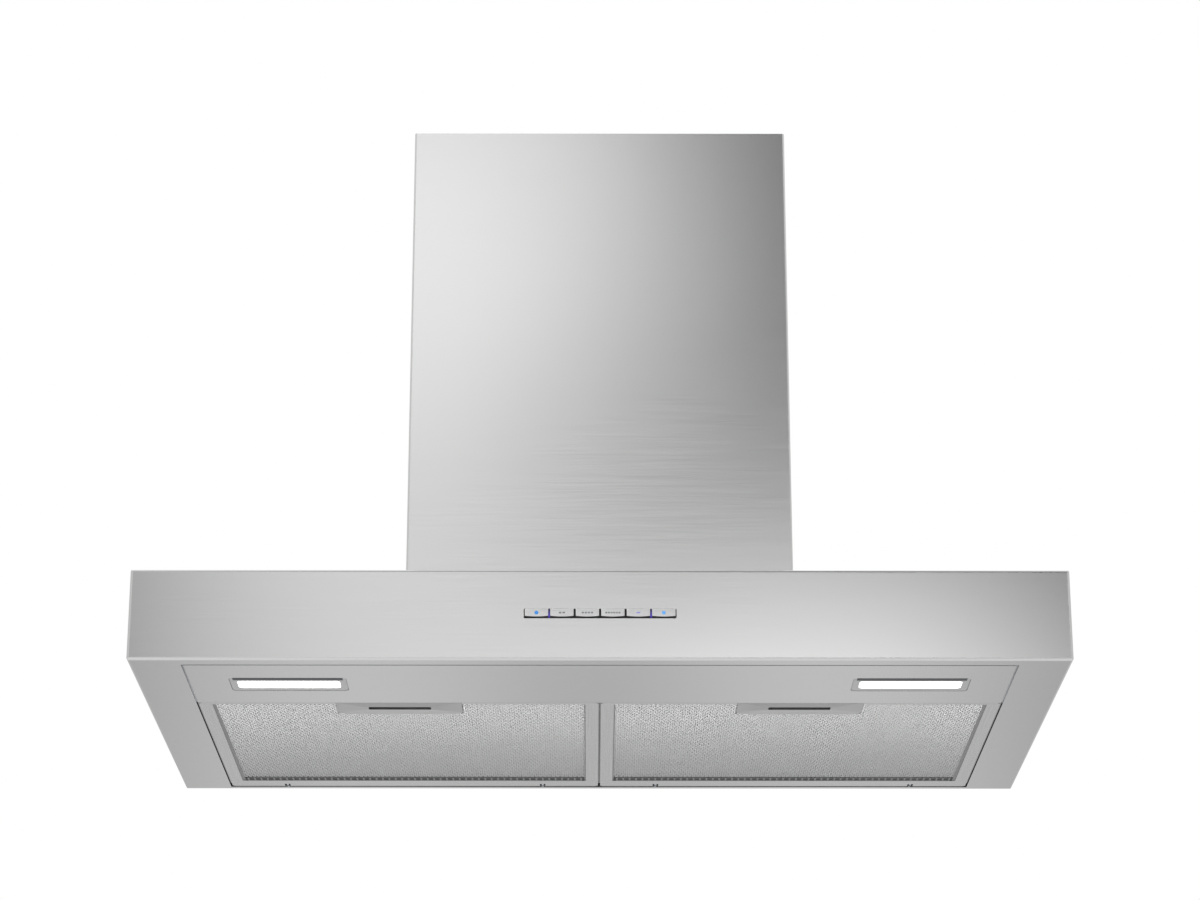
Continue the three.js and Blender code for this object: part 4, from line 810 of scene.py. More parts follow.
@dataclass(frozen=True)
class LightGuide(Finish):
    """Clear tinted acrylic strip, lit from behind: a low, even glow."""

    name: str
    low: str = "#2c2838"
    high: str = "#4d3fa8"
    strength: float = 0.4
    fade: tuple[float, float] = (0.05, 0.042)  # heights at which the low and the high tint are full

    def build(self, tree: bpy.types.NodeTree, shader: bpy.types.Node) -> None:
        """Wires a change of tint from top to bottom into the glow.

        Args:
            tree: The material's tree.
            shader: The tree's Principled BSDF.
        """
        place = add_node(tree, "ShaderNodeSeparateXYZ", {"Vector": place_of(tree)})
        share = add_node(
            tree,
            "ShaderNodeMapRange",
            {"Value": place.outputs["Z"], "From Min": self.fade[0], "From Max": self.fade[1]},
        ).outputs["Result"]
        hue = tone(tree, share, self.low, self.high)
        tree.links.new(hue, shader.inputs["Base Color"])
        tree.links.new(hue, shader.inputs["Emission Color"])
        shader.inputs["Emission Strength"].default_value = self.strength
        shader.inputs["Roughness"].default_value = 0.25


SHEET = BrushedStainless("brushed_stainless_sheet")
COVER_SHEET = BrushedStainless("brushed_stainless_cover")
GALVANISED = Galvanised("galvanised_sheet")
FRAME_STRIP = RolledAluminium(
    "rolled_aluminium_strip", roughness=0.27, side_strips=FILTER_WINDOW_DEPTH
)
MESH_WIRE = RolledAluminium("expanded_aluminium", "#bdbdbd", "#cecece", roughness=0.6, metal=0.45)
WIRE_LAYERS = WireLayers("crimped_wire_layers")
# Pressed aluminium, darker than the frame's strip: in part painted shade of the dished recess.
TRAY_AND_SHADE = RolledAluminium("pressed_aluminium_tray_and_shade", "#b8b8b8", "#c8c8c8", roughness=0.34)
# Darker aluminium tone that is painted shade: the edge strips along the filters' windows, the lips in the
# gaps at the frames' sides and the drain rows take it.
SHADED_EDGE = RolledAluminium("aluminium_edge_painted_shade", "#8f8f8f", "#9c9c9c", roughness=0.45)
LATCH = MouldedPlastic("moulded_grey_nylon", "#8a8c8e", "#828486", roughness=0.5)
BLACK_ABS = MouldedPlastic("moulded_black_abs", "#121214", "#0f0f11")
GREY_ABS = MouldedPlastic("moulded_grey_abs", "#a2a4a6", "#999b9d")
WHITE_ABS = MouldedPlastic("moulded_white_abs", "#e9e9e6", "#e2e2df")
# Grey gasket in the panel's joint: a real gasket, whose darkness there is in part painted shade of the
# gap.
GASKET_AND_SHADE = MouldedPlastic("gasket_rubber_and_painted_shade", "#77787a", "#6e6f71", roughness=0.6)
# Dark strip that stands in for shade: painted shade at the front of each lamp's opening and behind the
# filters' drain slots.
PAINTED_SHADE = MouldedPlastic("dark_painted_shade", "#3a3b3d", "#333436", roughness=0.65)
CAP_LACQUER = MetalLacquer("silver_lacquer_cap")
BEZEL_LACQUER = MetalLacquer("silver_lacquer_bezel", "#a4a4a5", "#b0b0b1")
BOARD = LacqueredBoard("lacquered_circuit_board")
ZINC = ZincPlate("zinc_plated_steel")


def dress(finish: Finish, *nodes: str) -> None:
    """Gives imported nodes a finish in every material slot.

    Args:
        finish: The finish.
        nodes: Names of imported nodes.
    """
    material = finish.material()
    for name in nodes:
        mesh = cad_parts[name].data
        mesh.materials.clear()
        mesh.materials.append(material)
    log.info("%s: %s", finish.name, ", ".join(nodes))


# ---------------------------------------------------------------- Geometry Nodes


class NodeForm:
    """A Geometry Nodes tree with named inputs, whose result becomes a plain mesh."""

    def __init__(self, name: str, inputs: dict[str, str]) -> None:
        """Starts the tree.

        Args:
            name: The tree's name.
            inputs: Each input's name and socket type.
        """
        self.tree = bpy.data.node_groups.new(name, "GeometryNodeTree")
        face = self.tree.interface
        face.new_socket(name="Geometry", in_out="INPUT", socket_type="NodeSocketGeometry")
        self.items = {
            label: face.new_socket(name=label, in_out="INPUT", socket_type=kind)
            for label, kind in inputs.items()
        }
        face.new_socket(name="Geometry", in_out="OUTPUT", socket_type="NodeSocketGeometry")
        self.source = self.tree.nodes.new("NodeGroupInput")
        self.build()

    def value(self, label: str) -> bpy.types.NodeSocket:
        """Gives the socket of a named input."""
        return self.source.outputs[label]

    def math(self, operation: str, first: object, second: object = 0.0) -> bpy.types.NodeSocket:
        """Adds one sum and gives its result.

        Args:
            operation: Blender's name of the sum.
            first: A socket or a number.
            second: A socket or a number.

        Returns:
            The result's socket.
        """
        node = add_node(self.tree, "ShaderNodeMath", {0: first, 1: second}, operation=operation)
        return node.outputs["Value"]

    def vector(self, x: object = 0.0, y: object = 0.0, z: object = 0.0) -> bpy.types.NodeSocket:
        """Joins three sockets or numbers into a vector socket."""
        return add_node(
            self.tree, "ShaderNodeCombineXYZ", {"X": x, "Y": y, "Z": z}
        ).outputs["Vector"]

    def end(self, geometry: bpy.types.NodeSocket) -> None:
        """Realises the instances, sets the material and closes the tree.

        Args:
            geometry: What the tree has made.
        """
        real = add_node(self.tree, "GeometryNodeRealizeInstances", {"Geometry": geometry})
        done = add_node(
            self.tree,
            "GeometryNodeSetMaterial",
            {"Geometry": real.outputs["Geometry"], "Material": self.value("Material")},
        )
        add_node(self.tree, "NodeGroupOutput", {"Geometry": done.outputs["Geometry"]})

    def build(self) -> None:
        """Builds the tree between its inputs and its end."""
        raise NotImplementedError

    def make(
        self, name: str, values: dict[str, object], points: Sequence[Triple] = ()
    ) -> bpy.types.Object:
        """Runs the tree once and gives its result as a piece.

        Args:
            name: The piece's name.
            values: Value of each named input.
            points: Loose points that the tree starts from.

        Returns:
            The piece, at the origin, with a plain mesh.
        """
        piece = solid_mesh(name, points, [])
        modifier = piece.modifiers.new(name, "NODES")
        modifier.node_group = self.tree
        for label, value in values.items():
            modifier[self.items[label].identifier] = value
        bake_modifiers(piece)
        return piece


class ExpandedMesh(NodeForm):
    """Expanded metal: zigzag strands that meet at their bends, cut out round a pocket."""

    level_limit: float = 1e-5  # run along Y, in metres, under which a grid line lies along the width
    bend_share: float = 0.92  # height of a zigzag, as a share of the row

    def __init__(self) -> None:
        """Names the sizes."""
        super().__init__(
            "expanded_mesh",
            {
                "Low": "NodeSocketVector",
                "Columns": "NodeSocketInt",
                "Rows": "NodeSocketInt",
                "Column": "NodeSocketFloat",
                "Row": "NodeSocketFloat",
                "Strand": "NodeSocketFloat",
                "Thickness": "NodeSocketFloat",
                "Pocket Low": "NodeSocketVector",
                "Pocket High": "NodeSocketVector",
                "Material": "NodeSocketMaterial",
            },
        )

    def build(self) -> None:
        """Makes a grid, keeps its lines along the width and bends them to and fro."""
        tree = self.tree
        low = add_node(tree, "ShaderNodeSeparateXYZ", {"Vector": self.value("Low")})
        spans_x = self.math("SUBTRACT", self.value("Columns"), 1.0)
        spans_y = self.math("SUBTRACT", self.value("Rows"), 1.0)
        width = self.math("MULTIPLY", spans_x, self.value("Column"))
        depth = self.math("MULTIPLY", spans_y, self.value("Row"))
        grid = add_node(
            tree,
            "GeometryNodeMeshGrid",
            {
                "Size X": width,
                "Size Y": depth,
                "Vertices X": self.value("Columns"),
                "Vertices Y": self.value("Rows"),
            },
        )
        middle = self.vector(
            self.math("MULTIPLY", width, 0.5), self.math("MULTIPLY", depth, 0.5), 0.0
        )
        shift = add_node(
            tree, "ShaderNodeVectorMath", {0: self.value("Low"), 1: middle}, operation="ADD"
        )
        placed = add_node(
            tree,
            "GeometryNodeTransform",
            {"Geometry": grid.outputs["Mesh"], "Translation": shift.outputs["Vector"]},
        )
        ends = add_node(tree, "GeometryNodeInputMeshEdgeVertices")
        run = add_node(
            tree,
            "ShaderNodeVectorMath",
            {0: ends.outputs["Position 1"], 1: ends.outputs["Position 2"]},
            operation="SUBTRACT",
        )
        along = add_node(tree, "ShaderNodeSeparateXYZ", {"Vector": run.outputs["Vector"]})
        crosswise = self.math(
            "GREATER_THAN", self.math("ABSOLUTE", along.outputs["Y"]), self.level_limit
        )
        strands = add_node(
            tree,
            "GeometryNodeDeleteGeometry",
            {"Geometry": placed.outputs["Geometry"], "Selection": crosswise},
            domain="EDGE",
            mode="EDGE_FACE",
        )
        place = add_node(tree, "GeometryNodeInputPosition").outputs["Position"]
        here = add_node(tree, "ShaderNodeSeparateXYZ", {"Vector": place})
        inside = self.inside_pocket(here)
        cleared = add_node(
            tree,
            "GeometryNodeDeleteGeometry",
            {"Geometry": strands.outputs["Geometry"], "Selection": inside},
            domain="POINT",
            mode="ALL",
        )
        column = self.number(here.outputs["X"], low.outputs["X"], self.value("Column"))
        row = self.number(here.outputs["Y"], low.outputs["Y"], self.value("Row"))
        parity = self.math("FLOORED_MODULO", self.math("ADD", column, row), 2.0)
        side = self.math("SUBTRACT", parity, 0.5)
        bend = self.math(
            "MULTIPLY", side, self.math("MULTIPLY", self.value("Row"), self.bend_share)
        )
        bent = add_node(
            tree,
            "GeometryNodeSetPosition",
            {"Geometry": cleared.outputs["Geometry"], "Offset": self.vector(0.0, bend, 0.0)},
        )
        path = add_node(tree, "GeometryNodeMeshToCurve", {"Mesh": bent.outputs["Geometry"]})
        upright = add_node(
            tree, "GeometryNodeSetCurveNormal", {"Curve": path.outputs["Curve"]}, mode="Z_UP"
        )
        half = self.math("MULTIPLY", self.value("Thickness"), 0.5)
        section = add_node(
            tree, "GeometryNodeCurvePrimitiveQuadrilateral", {"Width": self.value("Strand")}, mode="KITE"
        )
        tree.links.new(half, section.inputs["Bottom Height"])
        tree.links.new(half, section.inputs["Top Height"])
        wires = add_node(
            tree,
            "GeometryNodeCurveToMesh",
            {"Curve": upright.outputs["Curve"], "Profile Curve": section.outputs["Curve"]},
        )
        wires.inputs["Fill Caps"].default_value = True
        flat = add_node(
            tree,
            "GeometryNodeSetShadeSmooth",
            {"Geometry": wires.outputs["Mesh"], "Shade Smooth": False},
        )
        self.end(flat.outputs["Geometry"])

    def inside_pocket(self, here: bpy.types.Node) -> bpy.types.NodeSocket:
        """Says whether a point lies in the pocket.

        Args:
            here: The node that splits the point's place.

        Returns:
            The socket that is true inside.
        """
        low = add_node(self.tree, "ShaderNodeSeparateXYZ", {"Vector": self.value("Pocket Low")})
        high = add_node(self.tree, "ShaderNodeSeparateXYZ", {"Vector": self.value("Pocket High")})
        tests = [
            self.math(test, here.outputs[axis], limit.outputs[axis])
            for axis in ("X", "Y")
            for test, limit in (("GREATER_THAN", low), ("LESS_THAN", high))
        ]
        whole = tests[0]
        for test in tests[1:]:
            whole = self.math("MULTIPLY", whole, test)
        return whole

    def number(
        self, place: bpy.types.NodeSocket, start: bpy.types.NodeSocket, step: bpy.types.NodeSocket
    ) -> bpy.types.NodeSocket:
        """Counts a point's column or row.

        Args:
            place: The point's place along one axis.
            start: Where the count starts.
            step: Distance from one to the next.

        Returns:
            The whole number's socket.
        """
        return self.math(
            "ROUND", self.math("DIVIDE", self.math("SUBTRACT", place, start), step)
        )


class SlottedEdge(NodeForm):
    """An edge strip with a row of slots: two rails joined by small webs."""

    def __init__(self) -> None:
        """Names the sizes."""
        super().__init__(
            "slotted_edge",
            {
                "Start": "NodeSocketVector",
                "Count": "NodeSocketInt",
                "Pitch": "NodeSocketFloat",
                "Web": "NodeSocketVector",
                "Rail": "NodeSocketFloat",
                "Material": "NodeSocketMaterial",
            },
        )

    def build(self) -> None:
        """Repeats the web along the strip and adds the rails."""
        tree = self.tree
        web = add_node(tree, "ShaderNodeSeparateXYZ", {"Vector": self.value("Web")})
        line = add_node(
            tree,
            "GeometryNodeMeshLine",
            {
                "Count": self.value("Count"),
                "Start Location": self.value("Start"),
                "Offset": self.vector(self.value("Pitch"), 0.0, 0.0),
            },
            mode="OFFSET",
        )
        tooth = add_node(tree, "GeometryNodeMeshCube", {"Size": self.value("Web")})
        teeth = add_node(
            tree,
            "GeometryNodeInstanceOnPoints",
            {"Points": line.outputs["Mesh"], "Instance": tooth.outputs["Mesh"]},
        )
        gaps = self.math("SUBTRACT", self.value("Count"), 1.0)
        length = self.math("MULTIPLY", gaps, self.value("Pitch"))
        whole = self.math("ADD", length, web.outputs["X"])
        size = self.vector(whole, self.value("Rail"), web.outputs["Z"])
        rail = add_node(tree, "GeometryNodeMeshCube", {"Size": size})
        half = self.math("MULTIPLY", length, 0.5)
        reach = self.math(
            "MULTIPLY", self.math("ADD", web.outputs["Y"], self.value("Rail")), 0.5
        )
        rails = []
        for sign in (-1.0, 1.0):
            offset = self.vector(half, self.math("MULTIPLY", reach, sign), 0.0)
            where = add_node(
                tree, "ShaderNodeVectorMath", {0: self.value("Start"), 1: offset}, operation="ADD"
            )
            rails.append(
                add_node(
                    tree,
                    "GeometryNodeTransform",
                    {"Geometry": rail.outputs["Mesh"], "Translation": where.outputs["Vector"]},
                )
            )
        joined = add_node(tree, "GeometryNodeJoinGeometry")
        for part in (teeth.outputs["Instances"], *(r.outputs["Geometry"] for r in rails)):
            tree.links.new(part, joined.inputs["Geometry"])
        self.end(joined.outputs["Geometry"])


class Fasteners(NodeForm):
    """Screws or rivets: one head on each point, all facing one way, each turned at random."""

    def __init__(self) -> None:
        """Names the inputs."""
        super().__init__(
            "fasteners",
            {
                "Head": "NodeSocketObject",
                "Facing": "NodeSocketVector",
                "Seed": "NodeSocketInt",
                "Material": "NodeSocketMaterial",
            },
        )

    def build(self) -> None:
        """Sets a head on each point."""
        tree = self.tree
        head = add_node(tree, "GeometryNodeObjectInfo", {"Object": self.value("Head")})
        facing = add_node(
            tree,
            "FunctionNodeAlignRotationToVector",
            {"Vector": self.value("Facing")},
            axis="Z",
        )
        heads = add_node(
            tree,
            "GeometryNodeInstanceOnPoints",
            {
                "Points": self.value("Geometry"),
                "Instance": head.outputs["Geometry"],
                "Rotation": facing.outputs["Rotation"],
            },
        )
        turn = add_node(
            tree,
            "FunctionNodeRandomValue",
            {2: 0.0, 3: math.tau, "Seed": self.value("Seed")},
            data_type="FLOAT",
        )
        spin = self.vector(0.0, 0.0, turn.outputs[1])
        turned = add_node(
            tree,
            "GeometryNodeRotateInstances",
            {"Instances": heads.outputs["Instances"], "Rotation": spin},
        )
        self.end(turned.outputs["Instances"])


def screw_head(radius: float, height: float) -> bpy.types.Object:
    """Makes a pan head with a cross recess, which only the fastener tree shows.

    Args:
        radius: The head's radius in metres.
        height: The head's height in metres.

    Returns:
        The hidden object, on the plane z = 0.
    """
    arm, wide = radius * 0.55, radius * 0.14
    cross = [
        (arm, -wide), (arm, wide), (wide, wide), (wide, arm), (-wide, arm), (-wide, wide),
        (-arm, wide), (-arm, -wide), (-wide, -wide), (-wide, -arm), (wide, -arm), (wide, -wide),
    ]  # fmt: skip
    order = [math.atan2(y, x) for x, y in cross]
    points: list[Triple] = []
    for ring_radius, z in ((radius, 0.0), (radius, height * 0.45), (radius * 0.78, height)):
        points += [(ring_radius * math.cos(a), ring_radius * math.sin(a), z) for a in order]
    points += [(x, y, height) for x, y in cross]
    points += [(x, y, height * 0.3) for x, y in cross]
    sides = len(cross)
    faces = []
    for start in range(0, len(points) - sides, sides):
        for i in range(sides):
            a, b = start + i, start + (i + 1) % sides
            faces.append([a, b, b + sides, a + sides])
    faces.append(list(range(len(points) - sides, len(points))))
    head = solid_mesh("screw_head_pattern", points, faces)
    head.hide_render = True
    return head


def rivet_head(radius: float, height: float) -> bpy.types.Object:
    """Makes a domed rivet head with its pulled stem, which only the fastener tree shows.

    Args:
        radius: The head's radius in metres.
        height: The head's height in metres.

    Returns:
        The hidden object, on the plane z = 0.
    """
    profile = [
        (radius, 0.0), (radius * 0.9, height * 0.5), (radius * 0.6, height * 0.9),
        (radius * 0.34, height), (radius * 0.28, height * 0.7),
    ]  # fmt: skip
    sides = 12
    points = [
        (r * math.cos(math.tau * i / sides), r * math.sin(math.tau * i / sides), z)
        for r, z in profile
        for i in range(sides)
    ]
    faces = []
    for start in range(0, len(points) - sides, sides):
        for i in range(sides):
            a, b = start + i, start + (i + 1) % sides
            faces.append([a, b, b + sides, a + sides])
    faces.append(list(range(len(points) - sides, len(points))))
    head = solid_mesh("rivet_head_pattern", points, faces)
    head.hide_render = True
    return head


# ---------------------------------------------------------------- sub-assemblies


@dataclass
class Workshop:
    """Trees and fastener heads that the sub-assemblies share."""

    mesh: ExpandedMesh = field(default_factory=ExpandedMesh)
    edge: SlottedEdge = field(default_factory=SlottedEdge)
    fasteners: Fasteners = field(default_factory=Fasteners)
    screw: bpy.types.Object = field(default_factory=lambda: screw_head(0.0042, 0.0024))
    small_screw: bpy.types.Object = field(default_factory=lambda: screw_head(0.0027, 0.0016))
    rivet: bpy.types.Object = field(default_factory=lambda: rivet_head(0.0034, 0.0011))

    def fix(
        self,
        name: str,
        body: str,
        head: bpy.types.Object,
        points: Sequence[Triple],
        facing: Triple,
        seed: int,
    ) -> None:
        """Sets fasteners on points of one face.

        Args:
            name: The piece's name.
            body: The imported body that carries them.
            head: The head's pattern.
            points: Where each head sits.
            facing: Direction that the heads look in.
            seed: Seed of the heads' turns.
        """
        piece = self.fasteners.make(
            name,
            {"Head": head, "Facing": facing, "Seed": seed, "Material": ZINC.material()},
            points,
        )
        settle(piece, body, "zinc_steel")


@dataclass
class Canopy:
    """The folded stainless canopy with its hinge rail and wall hangers."""

    def dress(self) -> None:
        """Gives the sheet, rail and hangers their finishes."""
        dress(SHEET, "canopy_shell", "lamp_panel")
        dress(GALVANISED, "filter_hinge_rail")
        dress(
            ZINC,
            "wall_hanger_left",
            "wall_hanger_right",
            "hanger_screw_left",
            "hanger_screw_right",
        )


@dataclass
class ButtonStrip:
    """Six push buttons in a black frame behind the canopy's front."""

    count: int = 6
    skirt: float = 0.0020  # black strip under each cap
    edge: float = 0.0008  # how far a cap's rim lies behind its middle
    play: float = 0.00006
    gap: float = 0.00045  # black edge at each side of a cap
    bow: float = 0.0007  # how far a cap's lower edge hangs in its middle
    mark_above_middle: float = -0.0005
    coat: float = 0.00004
    flange: float = 0.0022  # above and below a button, behind the frame
    cap_steps: tuple[int, int] = (24, 12)
    roundness: tuple[int, int] = (14, 5)  # power of a cap's fall to its ends, and to its long edges
    strip_depth: tuple[float, float] = (0.0004, 0.0001)  # in front of the caps' rim
    strip_inset: float = 0.0002
    strip_lap: float = 0.7  # share of the gap at a cap's side that a strip covers
    blue: PrintedInk = PrintedInk("printed_blue_ink", "#2f86da", "#4a97e2")
    pale_blue: PrintedInk = PrintedInk("printed_pale_blue_ink", "#5aa8f4", "#6fb4f6")
    violet: PrintedInk = PrintedInk("printed_violet_ink", "#8f8fd8", "#a2a2de")
    grey: PrintedInk = PrintedInk("printed_grey_ink", "#7d7f81", "#8a8c8e")
    glow: LightGuide = LightGuide("lit_acrylic_strip")
    lit_gaps: tuple[int, int] = (1, 5)

    def dress(self) -> None:
        """Gives frame and board their finishes."""
        dress(BLACK_ABS, "keypad_frame")
        dress(BOARD, "keypad_board")

    def build(self) -> None:
        """Makes the buttons, prints their marks and lights the two outer gaps."""
        for number in range(1, self.count + 1):
            self.build_button(number)
        self.mark(1, self.dot(0.0019), self.blue)
        self.mark(2, self.squares(2, 0.0034), self.grey)
        self.mark(3, self.squares(4, 0.0029), self.grey)
        self.mark(4, self.squares(6, 0.0025), self.grey)
        self.mark(5, self.slant(0.0018), self.violet)
        self.mark(6, self.dot(0.0018), self.pale_blue)
        for left in range(1, self.count):
            self.fill_gap(left, self.glow if left in self.lit_gaps else BLACK_ABS)

    def build_button(self, number: int) -> None:
        """Makes one button: a crowned silver cap on a black body.

        Args:
            number: The button's number.
        """
        node = f"button_{number}"
        low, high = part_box(node)
        body = solid_mesh(f"{node}_body", *node_shape(node, low.y + self.edge))
        body.data.materials.append(BLACK_ABS.material())
        settle(body, node, "black_plastic", node)

        cap_low, cap_high = self.cap_heights(number)
        steps_u, steps_v = self.cap_steps
        power_u, power_v = self.roundness
        half = (high.x - low.x) / 2 - self.gap
        centre = (low.x + high.x) / 2
        middle, rise = (cap_low + cap_high) / 2, (cap_high - cap_low) / 2
        points: list[Triple] = []
        for j in range(steps_v + 1):
            v = math.sin(math.pi * (j / steps_v - 0.5))
            for i in range(steps_u + 1):
                u = math.sin(math.pi * (i / steps_u - 0.5))
                crown = math.sqrt(max(0.0, 1 - abs(u) ** power_u))
                crown *= math.sqrt(max(0.0, 1 - abs(v) ** power_v))
                y = low.y + self.play + (self.edge - self.play) * (1 - crown)
                hang = self.bow * (1 - u * u) * (1 - v) / 2
                points.append((centre + u * half, y, middle + v * rise - hang))
        row = steps_u + 1
        faces = [
            [j * row + i, j * row + i + 1, (j + 1) * row + i + 1, (j + 1) * row + i]
            for j in range(steps_v)
            for i in range(steps_u)
        ]
        rim = list(range(row))
        rim += [(j + 1) * row - 1 for j in range(1, steps_v + 1)]
        rim += [steps_v * row + i for i in range(steps_u - 1, -1, -1)]
        rim += [j * row for j in range(steps_v - 1, 0, -1)]
        faces.append(list(reversed(rim)))
        cap = solid_mesh(f"{node}_cap", points, faces)
        for polygon in cap.data.polygons[:-1]:
            polygon.use_smooth = True
        cap.data.materials.append(CAP_LACQUER.material())
        settle(cap, node, "button_cap")

    def cap_heights(self, number: int) -> tuple[float, float]:
        """Gives the lowest and highest point of a button's silver cap."""
        low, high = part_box(f"button_{number}")
        return low.z + self.flange + self.skirt, high.z - self.flange

    def dot(self, radius: float) -> list[list[tuple[float, float]]]:
        """Outlines a round mark.

        Args:
            radius: The mark's radius.

        Returns:
            One outline in the cap's plane.
        """
        steps = 20
        angles = [math.tau * i / steps for i in range(steps)]
        return [[(radius * math.cos(a), radius * math.sin(a)) for a in angles]]

    def squares(self, count: int, pitch: float) -> list[list[tuple[float, float]]]:
        """Outlines a row of small squares.

        Args:
            count: How many squares.
            pitch: From one square to the next.

        Returns:
            One outline for each square, in the cap's plane.
        """
        half, tall = pitch * 0.36, 0.0008
        starts = [(i - (count - 1) / 2) * pitch for i in range(count)]
        return [
            [(x - half, -tall), (x + half, -tall), (x + half, tall), (x - half, tall)]
            for x in starts
        ]

    def slant(self, half: float) -> list[list[tuple[float, float]]]:
        """Outlines a slanted dash.

        Args:
            half: Half its length.

        Returns:
            One outline in the cap's plane.
        """
        lean, tall = half * 0.5, 0.0007
        return [[(-half - lean, -tall), (half - lean, -tall), (half + lean, tall), (-half + lean, tall)]]

    def mark(
        self, button: int, outlines: Iterable[list[tuple[float, float]]], ink: PrintedInk
    ) -> None:
        """Prints a mark on a button's cap, as thick as a coat of ink.

        Args:
            button: The button's number.
            outlines: Outlines in the cap's plane, turning left seen from the front.
            ink: The ink.
        """
        low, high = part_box(f"button_{button}")
        x = (low.x + high.x) / 2
        z = sum(self.cap_heights(button)) / 2 + self.mark_above_middle
        y0, y1 = low.y + self.play - self.coat, low.y + self.play + self.coat
        points: list[Triple] = []
        faces: list[list[int]] = []
        for outline in outlines:
            first, count = len(points), len(outline)
            points += [(x + u, y, z + v) for y in (y0, y1) for u, v in outline]
            faces.append([first + i for i in range(count)])
            faces.append([first + count + i for i in reversed(range(count))])
            for i in range(count):
                j = (i + 1) % count
                faces.append([first + i, first + i + count, first + j + count, first + j])
        piece = solid_mesh(f"button_mark_{button}", points, faces)
        piece.data.materials.append(ink.material())
        settle(piece, f"button_{button}", "button_cap")

    def fill_gap(self, left: int, finish: Finish) -> None:
        """Fills the gap at the right of a button with a strip, set back from the caps.

        Args:
            left: Number of the button at the gap's left.
            finish: Lit acrylic or black plastic.
        """
        low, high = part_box(f"button_{left}")
        following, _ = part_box(f"button_{left + 1}")
        cap_low, cap_high = self.cap_heights(left)
        lap = self.gap * self.strip_lap
        rim = low.y + self.edge
        front, back = (rim - depth for depth in self.strip_depth)
        corners = box_corners(
            (high.x - lap, front, cap_low - self.skirt + self.strip_inset),
            (following.x + lap, back, cap_high - self.strip_inset),
        )
        piece = solid_mesh(f"button_gap_{left}", corners, box_faces(0))
        piece.data.materials.append(finish.material())
        settle(piece, "root", "black_plastic" if finish is BLACK_ABS else "light_plastic")


@dataclass
class Lamps:
    """Two rectangular lamps in the panel in front of the filters."""

    # The dark strip at the front of each lamp's opening is painted shade of the gap there.
    shade_strip_depth: float = 0.0072
    shade_strip_from_front: float = 0.0012
    shade_strip_from_end: float = 0.003
    joint: tuple[float, float] = (0.39815, 0.39985)
    front_joint: tuple[float, float] = (-0.23285, -0.23065)
    joint_height: tuple[float, float] = (0.0006, 0.00115)
    rim: float = 0.0036  # of a bezel
    shade_strip_height: tuple[float, float] = (-0.0003, 0.0002)  # from the bezel's lowest point
    shade_strip_edge: float = 0.00012
    sides: tuple[str, ...] = ("left", "right")

    def dress(self) -> None:
        """Gives bezels, housings, covers and boards their finishes."""
        for side in self.sides:
            low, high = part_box(f"lamp_lens_{side}")
            lit = LitCover(
                f"frosted_lit_cover_{side}",
                tuple((low + high) / 2),
                tuple((high - low) / 2),
            )
            dress(lit, f"lamp_lens_{side}")
            dress(BEZEL_LACQUER, f"lamp_bezel_{side}")
            dress(WHITE_ABS, f"lamp_housing_{side}")
            dress(BOARD, f"lamp_board_{side}")
        dress(WHITE_ABS, "lamp_driver")

    def build_gasket_and_shade(self) -> None:
        """Lays the gasket that shows in the joint round the panel; its grey is in part painted shade of
        the joint.
        """
        inner, outer = self.joint
        front, back = self.front_joint
        _, panel_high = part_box("lamp_panel")
        z0, z1 = self.joint_height
        bars = [
            ((-inner, front, z0), (inner, back, z1)),
            ((inner, front, z0), (outer, panel_high.y, z1)),
            ((-outer, front, z0), (-inner, panel_high.y, z1)),
        ]
        points: list[Triple] = []
        faces: list[list[int]] = []
        for low, high in bars:
            faces += box_faces(len(points))
            points += box_corners(low, high)
        piece = solid_mesh("panel_gasket", points, faces)
        piece.data.materials.append(GASKET_AND_SHADE.material())
        settle(piece, "root", "black_plastic")

    def build(self) -> None:
        """Lays the panel's gasket, in part painted shade of its joint, and a dark strip of painted shade
        along the front of each lamp's opening.
        """
        self.build_gasket_and_shade()
        for side in self.sides:
            low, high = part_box(f"lamp_bezel_{side}")
            inset = self.rim + self.shade_strip_from_end
            y0 = low.y + self.rim + self.shade_strip_from_front
            z0, z1 = (low.z + height for height in self.shade_strip_height)
            points = box_corners(
                (low.x + inset, y0, z0), (high.x - inset, y0 + self.shade_strip_depth, z1)
            )
            # A dark strip of painted shade, in place of the shadowed gap at the opening's front.
            piece = solid_mesh(f"lamp_seal_{side}", points, box_faces(0))
            bevel(piece, self.shade_strip_edge)
            piece.data.materials.append(PAINTED_SHADE.material())
            settle(piece, "root", "black_plastic")


